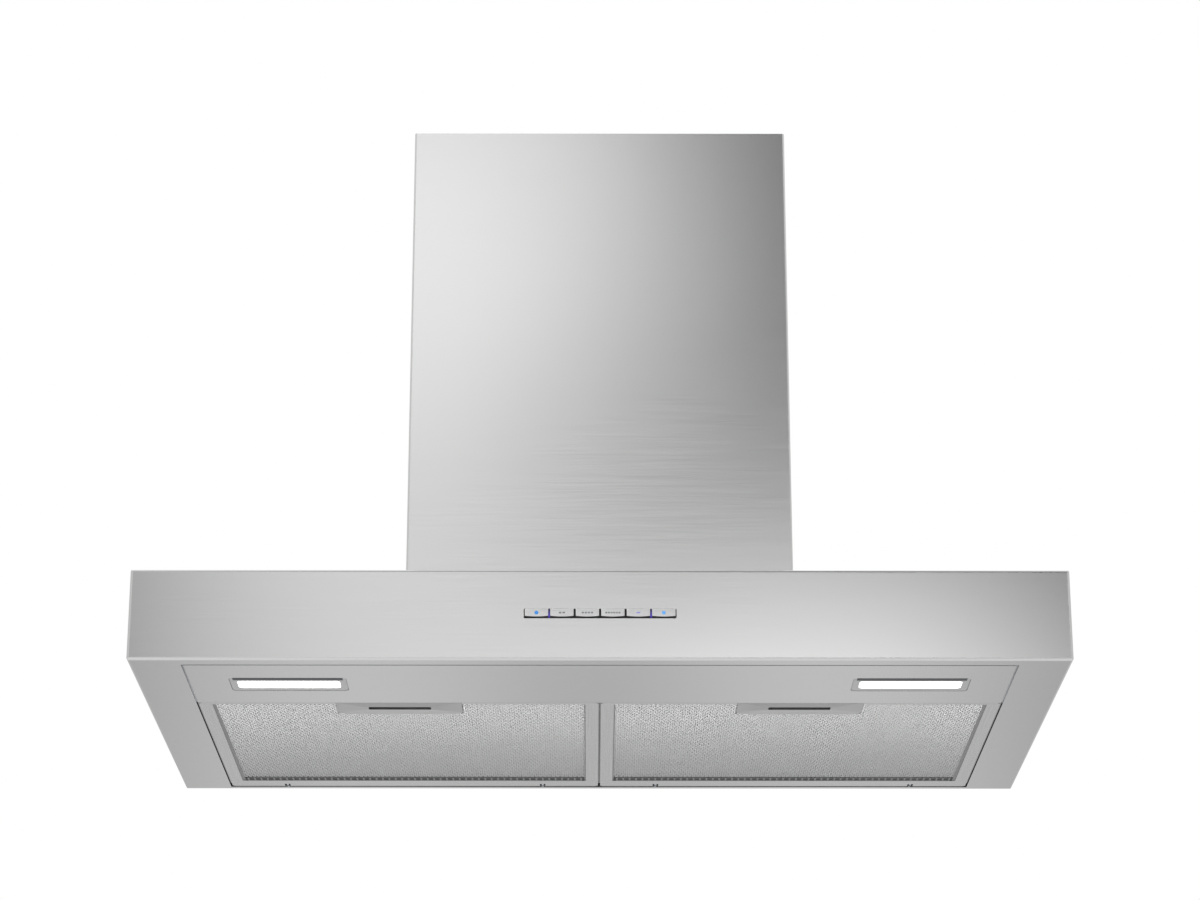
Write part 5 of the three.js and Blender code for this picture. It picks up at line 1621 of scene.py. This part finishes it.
@dataclass
class GreaseFilter:
    """One drop-down filter cassette: frame, two expanded meshes, wire layers, handle tray and latch."""

    side: str
    column: float = 0.0023
    row: float = 0.0029
    strand: float = 0.0016
    upper_mesh: Triple = (0.0031, 0.0039, 0.0019)  # column, row and strand
    thickness: float = 0.00084
    drain_pitch: float = 0.0069
    drain_web: Triple = (0.0017, 0.0096, 0.0003)
    drain_rail: float = 0.001
    edge_width: float = 0.0032
    lip: tuple[float, float] = (0.00102, 0.0011)  # at the inner and outer edge, into the gap
    lip_height: tuple[float, float] = (0.0005, 0.0012)
    lip_ends: tuple[float, float] = (0.001, 0.012)  # from the frame's front and rear end
    window: tuple[float, float, float, float] = (0.0142, 0.385, *FILTER_WINDOW_DEPTH)
    # the strips along the window's edges are painted shade of the step between frame and mesh
    shade_edge_height: tuple[float, float] = (0.00105, 0.0012)
    inner_shade_edge: float = 0.0012
    lap: float = 0.0003
    mesh_margin: float = 0.0015
    mesh_play: float = 0.0005
    pocket_rows: float = 0.8  # rows that stay free behind the tray
    drain_start: float = 0.0014  # from the window's inner edge
    drain_height: float = 0.0007
    # black backing of painted shade behind the drain slots
    shade_backing_height: tuple[float, float] = (0.0009, 0.00102)
    shade_backing_inset: tuple[float, float] = (0.0002, 0.0003)

    def dress(self) -> None:
        """Gives frame and wire layers their finishes."""
        dress(FRAME_STRIP, f"filter_frame_{self.side}")
        dress(WIRE_LAYERS, f"filter_media_{self.side}")

    def build(self, shop: Workshop) -> None:
        """Makes both meshes, the edge strips of painted shade, the drain row, the rivets, the tray and the
        latch.

        Args:
            shop: The shared trees.
        """
        body = f"filter_{self.side}"
        tray = HandleTray(self.side)
        self.build_mesh(shop, "mesh", (self.column, self.row, self.strand), tray.outline())
        self.build_mesh(shop, "backing", self.upper_mesh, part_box(f"filter_handle_{self.side}"))
        self.build_edges(shop, body)
        self.build_rivets(shop, body)
        tray.build()
        tray.build_latch()

    def build_mesh(
        self, shop: Workshop, layer: str, pitch: Triple, pocket: tuple[Vector, Vector]
    ) -> None:
        """Makes one of the two expanded meshes, cut out round the tray.

        Args:
            shop: The shared trees.
            layer: The mesh's name among the filter's nodes.
            pitch: Column, row and strand width.
            pocket: Lowest and highest corner of what it is cut out for.
        """
        node = f"filter_{layer}_{self.side}"
        low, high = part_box(node)
        column, row, strand = pitch
        margin, play = self.mesh_margin, self.mesh_play
        columns = int((high.x - low.x - 2 * margin) / column)
        rows = int((high.y - low.y - 2 * margin) / row)
        start = Vector((
            (low.x + high.x - (columns - 1) * column) / 2,
            (low.y + high.y - (rows - 1) * row) / 2,
            low.z + self.thickness / 2,
        ))
        mesh = shop.mesh.make(
            f"filter_{layer}_piece_{self.side}",
            {
                "Low": start,
                "Columns": columns,
                "Rows": rows,
                "Column": column,
                "Row": row,
                "Strand": strand,
                "Thickness": self.thickness,
                "Pocket Low": (pocket[0].x - play, low.y - margin, 0.0),
                "Pocket High": (pocket[1].x + play, pocket[1].y + row * self.pocket_rows, 0.0),
                "Material": MESH_WIRE.material(),
            },
        )
        settle(mesh, f"filter_{self.side}", "filter_mesh", node)

    def build_edges(self, shop: Workshop, body: str) -> None:
        """Lines the window with darker edge strips of painted shade and, at the rear, its row of drain
        slots over a black backing of painted shade.

        Args:
            shop: The shared trees.
            body: The filter's body.
        """
        sign = 1.0 if self.side == "right" else -1.0
        inner, outer, front, rear = self.window
        z0, z1 = self.shade_edge_height
        points: list[Triple] = []
        faces: list[list[int]] = []
        for x0, x1 in (
            (outer - self.edge_width, outer + self.lap),
            (inner - self.lap, inner + self.inner_shade_edge),
        ):
            low_x, high_x = sorted((sign * x0, sign * x1))
            faces += box_faces(len(points))
            points += box_corners((low_x, front, z0), (high_x, rear, z1))
        frame_low, frame_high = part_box(f"filter_frame_{self.side}")
        inner_edge, outer_edge = sorted((abs(frame_low.x), abs(frame_high.x)))
        foot, top = self.lip_height
        for x0, x1 in (
            (inner_edge - self.lip[0], inner_edge),
            (outer_edge, outer_edge + self.lip[1]),
        ):
            low_x, high_x = sorted((sign * x0, sign * x1))
            faces += box_faces(len(points))
            points += box_corners(
                (low_x, frame_low.y + self.lip_ends[0], frame_low.z + foot),
                (high_x, frame_high.y - self.lip_ends[1], frame_low.z + top),
            )
        # Edge strips and lips in a darker tone, as painted shade of the window's edges and of the gaps at
        # the frame's sides.
        edges = solid_mesh(f"filter_edges_{self.side}", points, faces)
        edges.data.materials.append(SHADED_EDGE.material())
        settle(edges, body, "filter_frame")

        web_x, web_y, _ = self.drain_web
        depth = web_y + 2 * self.drain_rail
        middle = rear - depth / 2 - self.lap
        x0, x1 = sorted((sign * (inner + self.drain_start), sign * (outer - self.edge_width)))
        count = int((x1 - x0 - web_x) / self.drain_pitch) + 1
        start = ((x0 + x1 - (count - 1) * self.drain_pitch) / 2, middle, self.drain_height)
        slots = shop.edge.make(
            f"filter_drain_{self.side}",
            {
                "Start": start,
                "Count": count,
                "Pitch": self.drain_pitch,
                "Web": self.drain_web,
                "Rail": self.drain_rail,
                "Material": SHADED_EDGE.material(),
            },
        )
        settle(slots, body, "filter_frame")
        # Black backing under the slots: painted shade, so that the slots read as dark holes into the
        # shaded inside.
        inset_x, inset_y = self.shade_backing_inset
        foot, top = self.shade_backing_height
        corners = box_corners(
            (x0 + inset_x, middle - depth / 2 + inset_y, foot),
            (x1 - inset_x, middle + depth / 2 - inset_y, top),
        )
        shade_backing = solid_mesh(f"filter_drain_lining_{self.side}", corners, box_faces(0))
        shade_backing.data.materials.append(PAINTED_SHADE.material())
        settle(shade_backing, body, "black_plastic")

    def build_rivets(self, shop: Workshop, body: str) -> None:
        """Sets a rivet on each rear corner of the frame's upper side.

        Args:
            shop: The shared trees.
            body: The filter's body.
        """
        low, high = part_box(f"filter_frame_{self.side}")
        inset = 0.0068
        points = [(x, high.y - inset * 1.5, high.z) for x in (low.x + inset, high.x - inset)]
        shop.fix(f"filter_rivets_{self.side}", body, shop.rivet, points, (0.0, 0.0, 1.0), 3)


@dataclass
class HandleTray:
    """Pressed tray under a filter's latch, with the slot that the fingers reach through."""

    side: str
    overhang: float = 0.0115  # of the dish, behind the latch's room
    dish: float = 0.0009
    rim: float = 0.0012
    corners: tuple[float, float] = (0.0085, 0.004)
    sheet: float = 0.0003
    wall: float = 0.0012
    slot: tuple[float, float] = (0.062, 0.0095)
    slot_from_front: float = 0.0195
    slot_corner: float = 0.0015
    tongue: float = 0.041
    finger_plate: Triple = (0.056, 0.0098, 0.0012)
    finger_lip: tuple[float, float] = (0.0015, 0.0019)

    def outline(self) -> tuple[Vector, Vector]:
        """Gives the tray's lowest and highest corner."""
        low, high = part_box(f"filter_handle_{self.side}")
        return low, Vector((high.x, high.y + self.overhang, high.z))

    def build(self) -> None:
        """Presses the tray out of sheet and sets the walls of the latch's room on it."""
        low, high = self.outline()
        middle = ((low.x + high.x) / 2, (low.y + high.y) / 2)
        half = ((high.x - low.x) / 2, (high.y - low.y) / 2)
        wide, deep = self.slot[0] / 2, self.slot[1] / 2
        at_slot = (middle[0], low.y + self.slot_from_front + deep)
        floor, ceiling, thick = low.z, low.z + self.dish, self.sheet

        def round_slot(grow: float, z: float) -> list[Triple]:
            """Places a ring round the slot, grown by a width."""
            radius = self.slot_corner + grow
            return rounded_ring(at_slot, (wide + grow, deep + grow), (radius, radius), z)

        def round_dish(grow: float, z: float) -> list[Triple]:
            """Places a ring round the dish, grown by a width."""
            size = (half[0] - self.rim + grow, half[1] - self.rim + grow)
            radii = (self.corners[0] + grow, self.corners[1] + grow)
            return rounded_ring(middle, size, radii, z)

        rings = [
            round_slot(0.0, ceiling + 0.0006),
            round_slot(0.0, ceiling + 0.00015),
            round_slot(0.00025, ceiling),
            round_dish(-0.001, ceiling),
            round_dish(-0.0004, ceiling - 0.00015),
            round_dish(0.0, floor + 0.0003),
            round_dish(0.0004, floor),
            rounded_ring(middle, half, (self.corners[0] + self.rim, 0.001), floor),
            rounded_ring(middle, half, (self.corners[0] + self.rim, 0.001), floor + thick),
            round_dish(0.0005, floor + thick),
            round_dish(0.0001, ceiling + 0.0001),
            round_dish(-0.0009, ceiling + thick),
            round_slot(0.00055, ceiling + thick),
            round_slot(0.0003, ceiling + 0.0006),
        ]
        points = [point for ring in rings for point in ring]
        faces = sheet_faces(len(rings), len(rings[0]))
        for start, end in self.walls(low, high, ceiling + thick):
            faces += box_faces(len(points))
            points += box_corners(start, end)
        tray = solid_mesh(f"filter_tray_{self.side}", points, faces)
        tray.data.shade_smooth()
        tray.data.set_sharp_from_angle(angle=math.radians(40))
        # The tray's darker tone is in part painted shade of the dish.
        tray.data.materials.append(TRAY_AND_SHADE.material())
        settle(tray, f"filter_{self.side}", "filter_frame", f"filter_handle_{self.side}")

    def walls(self, low: Vector, high: Vector, top: float) -> list[tuple[Triple, Triple]]:
        """Gives the lowest and highest corner of each wall round the latch's room.

        Args:
            low: The tray's lowest corner.
            high: The tray's highest corner.
            top: Height of the dish's upper side.

        Returns:
            Two corners for each wall, the tongue's way left free in front.
        """
        foot, wall = low.z + self.sheet, self.wall
        rear = high.y - self.overhang
        middle, tongue = (low.x + high.x) / 2, self.tongue / 2
        return [
            ((low.x, low.y, foot), (low.x + wall, rear, high.z)),
            ((high.x - wall, low.y, foot), (high.x, rear, high.z)),
            ((low.x + wall, rear - wall, top), (high.x - wall, rear, high.z)),
            ((low.x + wall, low.y, foot), (middle - tongue, low.y + wall, high.z)),
            ((middle + tongue, low.y, foot), (high.x - wall, low.y + wall, high.z)),
        ]

    def build_latch(self) -> None:
        """Gives the latch the finger plate that stands in the tray's slot."""
        node = f"filter_latch_{self.side}"
        points, faces = node_shape(node)
        low, high = self.outline()
        middle = (low.x + high.x) / 2
        wide, deep, thick = self.finger_plate
        lip_thick, lip_drop = self.finger_lip
        front = low.y + self.slot_from_front - deep + lip_thick + 0.0003
        under = low.z + self.dish + 0.003
        rear = front + deep
        for start, end in (
            ((middle - wide / 2, front, under), (middle + wide / 2, rear, under + thick)),
            ((middle - wide / 2, rear - lip_thick, under - lip_drop), (middle + wide / 2, rear, under)),
        ):
            faces += box_faces(len(points))
            points += box_corners(start, end)
        latch = solid_mesh(f"filter_latch_piece_{self.side}", points, faces)
        latch.data.materials.append(LATCH.material())
        settle(latch, f"latch_{self.side}", "latch", node)


@dataclass
class DuctCover:
    """The telescopic duct cover with its brackets."""

    foot_thickness: float = 0.0018
    web_thickness: float = 0.002
    slot_share: float = 0.6  # of the ceiling bracket's half width

    def build(self, shop: Workshop) -> None:
        """Screws the covers to their brackets and the brackets down.

        Args:
            shop: The shared trees.
        """
        outer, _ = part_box("chimney_lower_cover")
        low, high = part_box("cover_bracket_right")
        middle = (low + high) / 2
        for side, sign in (("left", -1.0), ("right", 1.0)):
            at_cover = [(-sign * outer.x, middle.y, low.z + (high.z - low.z) * self.slot_share)]
            shop.fix(f"cover_screw_{side}", "root", shop.small_screw, at_cover, (sign, 0.0, 0.0), 8)
            at_foot = [(sign * middle.x, middle.y, low.z + self.foot_thickness)]
            shop.fix(f"foot_screw_{side}", "root", shop.small_screw, at_foot, (0.0, 0.0, 1.0), 9)
        low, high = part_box("ceiling_bracket")
        front, z = high.y - self.web_thickness, (low.z + high.z) / 2
        points = [(sign * high.x * self.slot_share, front, z) for sign in (-1.0, 1.0)]
        shop.fix("wall_screws", "chimney_upper", shop.screw, points, (0.0, -1.0, 0.0), 10)

    def dress(self) -> None:
        """Gives the covers and brackets their finishes."""
        dress(COVER_SHEET, "chimney_lower_cover", "chimney_upper_cover")
        dress(GALVANISED, "ceiling_bracket", "cover_bracket_left", "cover_bracket_right")


@dataclass
class Blower:
    """Blower box, scroll, impeller, motor, collar and flaps."""

    pitch: float = 0.045
    inset: float = 0.0045
    sheet: float = 0.001
    collar_flange: float = 0.0024
    collar_hole_circle: float = 0.0815

    def dress(self) -> None:
        """Gives the blower's parts their finishes."""
        dress(GALVANISED, "blower_box", "motor_bracket")
        dress(ZINC, "motor", "motor_shaft", "flap_pin")
        dress(BLACK_ABS, "scroll_left", "scroll_right", "outlet_collar")
        dress(GREY_ABS, "impeller", "flap_front", "flap_rear")
        dress(WHITE_ABS, "capacitor")

    def build(self, shop: Workshop) -> None:
        """Screws the box's flange down and the collar on.

        Args:
            shop: The shared trees.
        """
        low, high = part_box("blower_box")
        z = low.z + self.sheet
        xs = self.row_of(low.x + self.inset, high.x - self.inset)
        ys = self.row_of(low.y + self.inset, high.y - self.inset)[1:-1]
        points = [(x, y, z) for x in xs for y in (low.y + self.inset, high.y - self.inset)]
        points += [(x, y, z) for x in (low.x + self.inset, high.x - self.inset) for y in ys]
        shop.fix("box_flange_screws", "root", shop.small_screw, points, (0.0, 0.0, 1.0), 5)
        low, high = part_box("outlet_collar")
        middle = (low + high) / 2
        quarter = self.collar_hole_circle * math.sqrt(0.5)
        top = low.z + self.collar_flange
        points = [
            (middle.x + i * quarter, middle.y + j * quarter, top)
            for i in (-1, 1)
            for j in (-1, 1)
        ]
        shop.fix("collar_screws", "root", shop.small_screw, points, (0.0, 0.0, 1.0), 6)

    def row_of(self, start: float, end: float) -> list[float]:
        """Spaces places evenly from start to end, about one pitch apart."""
        count = max(2, round((end - start) / self.pitch) + 1)
        return [start + (end - start) * i / (count - 1) for i in range(count)]


@dataclass
class Electrics:
    """Control box, mains junction box and gland."""

    inset: float = 0.008

    def build(self, shop: Workshop) -> None:
        """Screws the lids on.

        Args:
            shop: The shared trees.
        """
        low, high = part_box("control_box_lid")
        points = [
            (x, y, low.z)
            for x in (low.x + self.inset, high.x - self.inset)
            for y in (low.y + self.inset, high.y - self.inset)
        ]
        shop.fix("control_lid_screws", "root", shop.small_screw, points, (0.0, 0.0, -1.0), 12)
        low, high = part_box("junction_box_lid")
        points = [
            (low.x, y, z)
            for y in (low.y + self.inset, high.y - self.inset)
            for z in (low.z + self.inset, high.z - self.inset)
        ]
        shop.fix("junction_lid_screws", "root", shop.small_screw, points, (-1.0, 0.0, 0.0), 13)

    def dress(self) -> None:
        """Gives the boxes and the board their finishes."""
        dress(BLACK_ABS, "control_box", "control_box_lid", "cable_gland")
        dress(BOARD, "control_board")
        dress(GREY_ABS, "junction_box", "junction_box_lid")


# ---------------------------------------------------------------- studio


@dataclass(frozen=True)
class SoftLobe:
    """A soft bright or dark patch of the studio, seen only in reflections.

    Azimuth is measured from -Y towards +X, elevation above the horizon, both in degrees.
    """

    azimuth: float
    elevation: float
    width: float
    height: float
    strength: float

    def axes(self) -> tuple[Vector, Vector, Vector]:
        """Gives the patch's axes.

        Returns:
            The direction of its middle, and its two sides divided by their sizes.
        """
        a, e = math.radians(self.azimuth), math.radians(self.elevation)
        centre = Vector((math.sin(a) * math.cos(e), -math.cos(a) * math.cos(e), math.sin(e)))
        across = Vector((math.cos(a), math.sin(a), 0.0))
        upward = centre.cross(across)
        across_size, upward_size = (math.sin(math.radians(v)) for v in (self.width, self.height))
        return centre, across / across_size, upward / upward_size


class SoftLobeGroup:
    """Node group that gives one patch's light along a direction: a bell round the patch's middle."""

    def __init__(self) -> None:
        """Builds the group."""
        self.tree = bpy.data.node_groups.new("soft_lobe", "ShaderNodeTree")
        face = self.tree.interface
        for label in ("Direction", "Centre", "Across", "Upward"):
            face.new_socket(name=label, in_out="INPUT", socket_type="NodeSocketVector")
        face.new_socket(name="Strength", in_out="INPUT", socket_type="NodeSocketFloat")
        face.new_socket(name="Level", in_out="OUTPUT", socket_type="NodeSocketFloat")
        source = self.tree.nodes.new("NodeGroupInput").outputs
        ahead, across, upward = (
            self.product(source["Direction"], source[label])
            for label in ("Centre", "Across", "Upward")
        )
        squares = self.sum(
            "ADD", self.sum("MULTIPLY", across, across), self.sum("MULTIPLY", upward, upward)
        )
        bell = self.sum("EXPONENT", self.sum("MULTIPLY", squares, -1.0))
        facing = self.sum("MULTIPLY", bell, self.sum("GREATER_THAN", ahead, 0.0))
        level = self.sum("MULTIPLY", facing, source["Strength"])
        add_node(self.tree, "NodeGroupOutput", {"Level": level})

    def product(self, first: bpy.types.NodeSocket, second: bpy.types.NodeSocket) -> bpy.types.NodeSocket:
        """Gives the dot product of two vectors."""
        node = add_node(
            self.tree, "ShaderNodeVectorMath", {0: first, 1: second}, operation="DOT_PRODUCT"
        )
        return node.outputs["Value"]

    def sum(self, operation: str, first: object, second: object = 0.0) -> bpy.types.NodeSocket:
        """Gives the result of one sum on two numbers or sockets."""
        node = add_node(self.tree, "ShaderNodeMath", {0: first, 1: second}, operation=operation)
        return node.outputs["Value"]

    def level(
        self, tree: bpy.types.NodeTree, direction: bpy.types.NodeSocket, lobe: SoftLobe
    ) -> bpy.types.NodeSocket:
        """Uses the group for one patch.

        Args:
            tree: The world's tree.
            direction: Where a ray looks.
            lobe: The patch.

        Returns:
            The level's socket.
        """
        centre, across, upward = lobe.axes()
        node = add_node(tree, "ShaderNodeGroup", node_tree=self.tree)
        tree.links.new(direction, node.inputs["Direction"])
        node.inputs["Centre"].default_value = centre
        node.inputs["Across"].default_value = across
        node.inputs["Upward"].default_value = upward
        node.inputs["Strength"].default_value = lobe.strength
        return node.outputs["Level"]


@dataclass
class StudioWorld:
    """White studio: plain light on everything, white to the camera, soft tones in the metal."""

    light: float = 0.85
    ground: float = 0.67
    horizon: float = 0.55
    zenith: float = 0.95
    darkest: float = 0.05
    ground_below: float = -0.12  # sine of the angle at which the ground's level is reached
    zenith_above: float = 0.9
    lobes: tuple[SoftLobe, ...] = (
        SoftLobe(-0.9, 23.9, 5.7, 4.0, 1.64),
        SoftLobe(4.1, 25.0, 8.8, 18.7, -0.66),
        SoftLobe(4.4, 13.3, 5.7, 4.0, 1.7),
        SoftLobe(3.8, 13.3, 6.9, 4.0, 1.7),
        SoftLobe(-11.6, 19.7, 4.0, 16.8, -0.82),
        SoftLobe(8.8, 28.8, 10.0, 21.4, -0.73),
        SoftLobe(2.3, 17.6, 4.3, 4.0, -1.0),
        SoftLobe(-9.6, 19.5, 7.8, 12.6, 0.33),
        SoftLobe(11.4, 8.1, 4.9, 8.4, -1.0),
        SoftLobe(0.0, -4.0, 40.0, 6.0, 0.3),
        SoftLobe(-52.0, 14.0, 14.0, 22.0, 0.4),
        SoftLobe(52.0, 14.0, 14.0, 22.0, 0.4),
        SoftLobe(180.0, -14.0, 2.6, 9.0, -0.2),
        SoftLobe(170.0, -14.0, 3.4, 9.0, -0.32),
        SoftLobe(190.0, -14.0, 3.4, 9.0, -0.32),
    )

    def build(self) -> None:
        """Makes the world and its nodes."""
        world = bpy.data.worlds.new("studio")
        bpy.context.scene.world = world
        world.use_nodes = True
        tree = world.node_tree
        tree.nodes.clear()
        direction = add_node(tree, "ShaderNodeTexCoord").outputs["Generated"]
        group = SoftLobeGroup()
        level = self.base_level(tree, direction)
        for lobe in self.lobes:
            added = {0: level, 1: group.level(tree, direction, lobe)}
            level = add_node(tree, "ShaderNodeMath", added, operation="ADD").outputs["Value"]
        kept = {0: level, 1: self.darkest}
        level = add_node(tree, "ShaderNodeMath", kept, operation="MAXIMUM").outputs["Value"]
        path = add_node(tree, "ShaderNodeLightPath")
        mirror = add_node(
            tree,
            "ShaderNodeMath",
            {0: path.outputs["Is Glossy Ray"], 1: path.outputs["Is Transmission Ray"]},
            operation="MAXIMUM",
        )
        lit = self.choose(tree, mirror.outputs["Value"], self.light, level)
        shown = self.choose(tree, path.outputs["Is Camera Ray"], lit, 1.0)
        background = add_node(tree, "ShaderNodeBackground", {"Strength": shown})
        background.inputs["Color"].default_value = (1.0, 1.0, 1.0, 1.0)
        add_node(tree, "ShaderNodeOutputWorld", {"Surface": background.outputs["Background"]})
        log.info("studio world with %d soft lobes", len(self.lobes))

    def choose(
        self, tree: bpy.types.NodeTree, share: bpy.types.NodeSocket, off: object, on: object
    ) -> bpy.types.NodeSocket:
        """Picks one of two levels.

        Args:
            tree: The world's tree.
            share: 0 for the first, 1 for the second.
            off: Level, or its socket, at 0.
            on: Level, or its socket, at 1.

        Returns:
            The chosen level's socket.
        """
        node = add_node(tree, "ShaderNodeMix", {0: share, 2: off, 3: on}, data_type="FLOAT")
        return node.outputs[0]

    def base_level(
        self, tree: bpy.types.NodeTree, direction: bpy.types.NodeSocket
    ) -> bpy.types.NodeSocket:
        """Brightens the studio from the horizon to the zenith, and towards the ground.

        Args:
            tree: The world's tree.
            direction: Where a ray looks.

        Returns:
            The level's socket.
        """
        height = add_node(tree, "ShaderNodeSeparateXYZ", {"Vector": direction}).outputs["Z"]
        below = add_node(
            tree,
            "ShaderNodeMapRange",
            {
                "Value": height,
                "From Min": self.ground_below,
                "From Max": 0.0,
                "To Min": self.ground,
                "To Max": self.horizon,
            },
        )
        above = add_node(
            tree,
            "ShaderNodeMapRange",
            {
                "Value": height,
                "From Max": self.zenith_above,
                "To Max": self.zenith - self.horizon,
            },
            interpolation_type="SMOOTHSTEP",
        )
        both = {0: below.outputs["Result"], 1: above.outputs["Result"]}
        return add_node(tree, "ShaderNodeMath", both, operation="ADD").outputs["Value"]


@dataclass
class StudioFloor:
    """Pale floor a usual cooking height below the hood, fading to white far away."""

    drop: float = 1.6
    radius: float = 3.4
    fade_from: float = 0.9
    fade_to: float = 0.9  # share of the radius
    roughness: float = 0.7
    sides: int = 96
    colour: str = "#eeeeee"

    def build(self) -> None:
        """Makes the floor disc and its material."""
        ring = [math.tau * i / self.sides for i in range(self.sides)]
        points = [(self.radius * math.cos(a), self.radius * math.sin(a), -self.drop) for a in ring]
        floor = solid_mesh("studio_floor", points, [list(range(self.sides))])
        material = bpy.data.materials.new("painted_studio_floor")
        material.use_nodes = True
        tree = material.node_tree
        shader = tree.nodes["Principled BSDF"]
        shader.inputs["Base Color"].default_value = linear(self.colour)
        shader.inputs["Roughness"].default_value = self.roughness
        place = add_node(tree, "ShaderNodeTexCoord").outputs["Object"]
        far = add_node(tree, "ShaderNodeVectorMath", {0: place}, operation="LENGTH").outputs["Value"]
        fade = add_node(
            tree,
            "ShaderNodeMapRange",
            {"Value": far, "From Min": self.fade_from, "From Max": self.radius * self.fade_to},
            interpolation_type="SMOOTHSTEP",
        ).outputs["Result"]
        seen = add_node(tree, "ShaderNodeLightPath").outputs["Is Camera Ray"]
        share = add_node(
            tree, "ShaderNodeMath", {0: fade, 1: seen}, operation="MULTIPLY"
        ).outputs["Value"]
        white = add_node(tree, "ShaderNodeEmission", {"Strength": 1.0})
        both = add_node(
            tree,
            "ShaderNodeMixShader",
            {0: share, 1: shader.outputs["BSDF"], 2: white.outputs["Emission"]},
        )
        tree.links.new(both.outputs["Shader"], tree.nodes["Material Output"].inputs["Surface"])
        floor.data.materials.append(material)


@dataclass
class SoftLight:
    """A large soft lamp that the camera doesn't see."""

    name: str
    place: Triple
    target: Triple
    size: tuple[float, float]
    power: float
    spread: float = 180.0  # degrees

    def build(self) -> None:
        """Makes the lamp and points it."""
        lamp = bpy.data.lights.new(self.name, "AREA")
        lamp.shape = "RECTANGLE"
        lamp.size, lamp.size_y = self.size
        lamp.energy = self.power
        lamp.spread = math.radians(self.spread)
        holder = bpy.data.objects.new(self.name, lamp)
        holder.location = self.place
        aim = Vector(self.target) - Vector(self.place)
        holder.rotation_euler = aim.to_track_quat("-Z", "Y").to_euler()
        holder.visible_camera = False
        holder.visible_glossy = False
        bpy.context.scene.collection.objects.link(holder)


@dataclass
class ViewCamera:
    """Camera at the photographer's place, tilted up at the hood, with no lens shift.

    The photograph has an upright film plane. That takes a shift of nearly the picture's width, which every
    other view would keep, so the duct cover's sides close in a little towards the top here.
    """

    place: Triple = (-0.0078, -3.271, -0.885)
    target: Triple = (0.0005, 0.0, 0.3027)
    focal_px: float = 3310.0
    image_px: float = 1200.0

    def build(self) -> None:
        """Makes the camera and points it."""
        camera = bpy.data.cameras.new("view_camera")
        camera.sensor_width = 36.0
        camera.lens = self.focal_px * camera.sensor_width / self.image_px
        camera.clip_start, camera.clip_end = 0.05, 100.0
        view = bpy.data.objects.new("view_camera", camera)
        view.location = self.place
        aim = Vector(self.target) - Vector(self.place)
        view.rotation_euler = aim.to_track_quat("-Z", "Y").to_euler()
        bpy.context.scene.collection.objects.link(view)
        bpy.context.scene.camera = view


# ---------------------------------------------------------------- assembly


def main() -> None:
    """Builds the hood's looks and its studio."""
    logging.basicConfig(level=logging.INFO, format="%(name)s: %(message)s")
    bpy.context.scene.view_settings.view_transform = "Standard"
    ViewCamera().build()
    StudioWorld().build()
    StudioFloor().build()
    SoftLight("key_light", (-1.6, -2.4, 2.6), (0.0, 0.0, 0.2), (2.0, 2.0), 40.0).build()
    SoftLight("low_light", (0.0, -0.3, -0.5), (0.0, -0.08, 0.0), (1.4, 0.1), 1.3, 50.0).build()

    shop = Workshop()
    canopy = Canopy()
    canopy.dress()
    buttons = ButtonStrip()
    buttons.dress()
    buttons.build()
    lamps = Lamps()
    lamps.dress()
    lamps.build()
    for side in ("left", "right"):
        cassette = GreaseFilter(side)
        cassette.dress()
        cassette.build(shop)
    for assembly in (DuctCover(), Blower(), Electrics()):
        assembly.dress()
        assembly.build(shop)


if __name__ == "__main__":
    main()
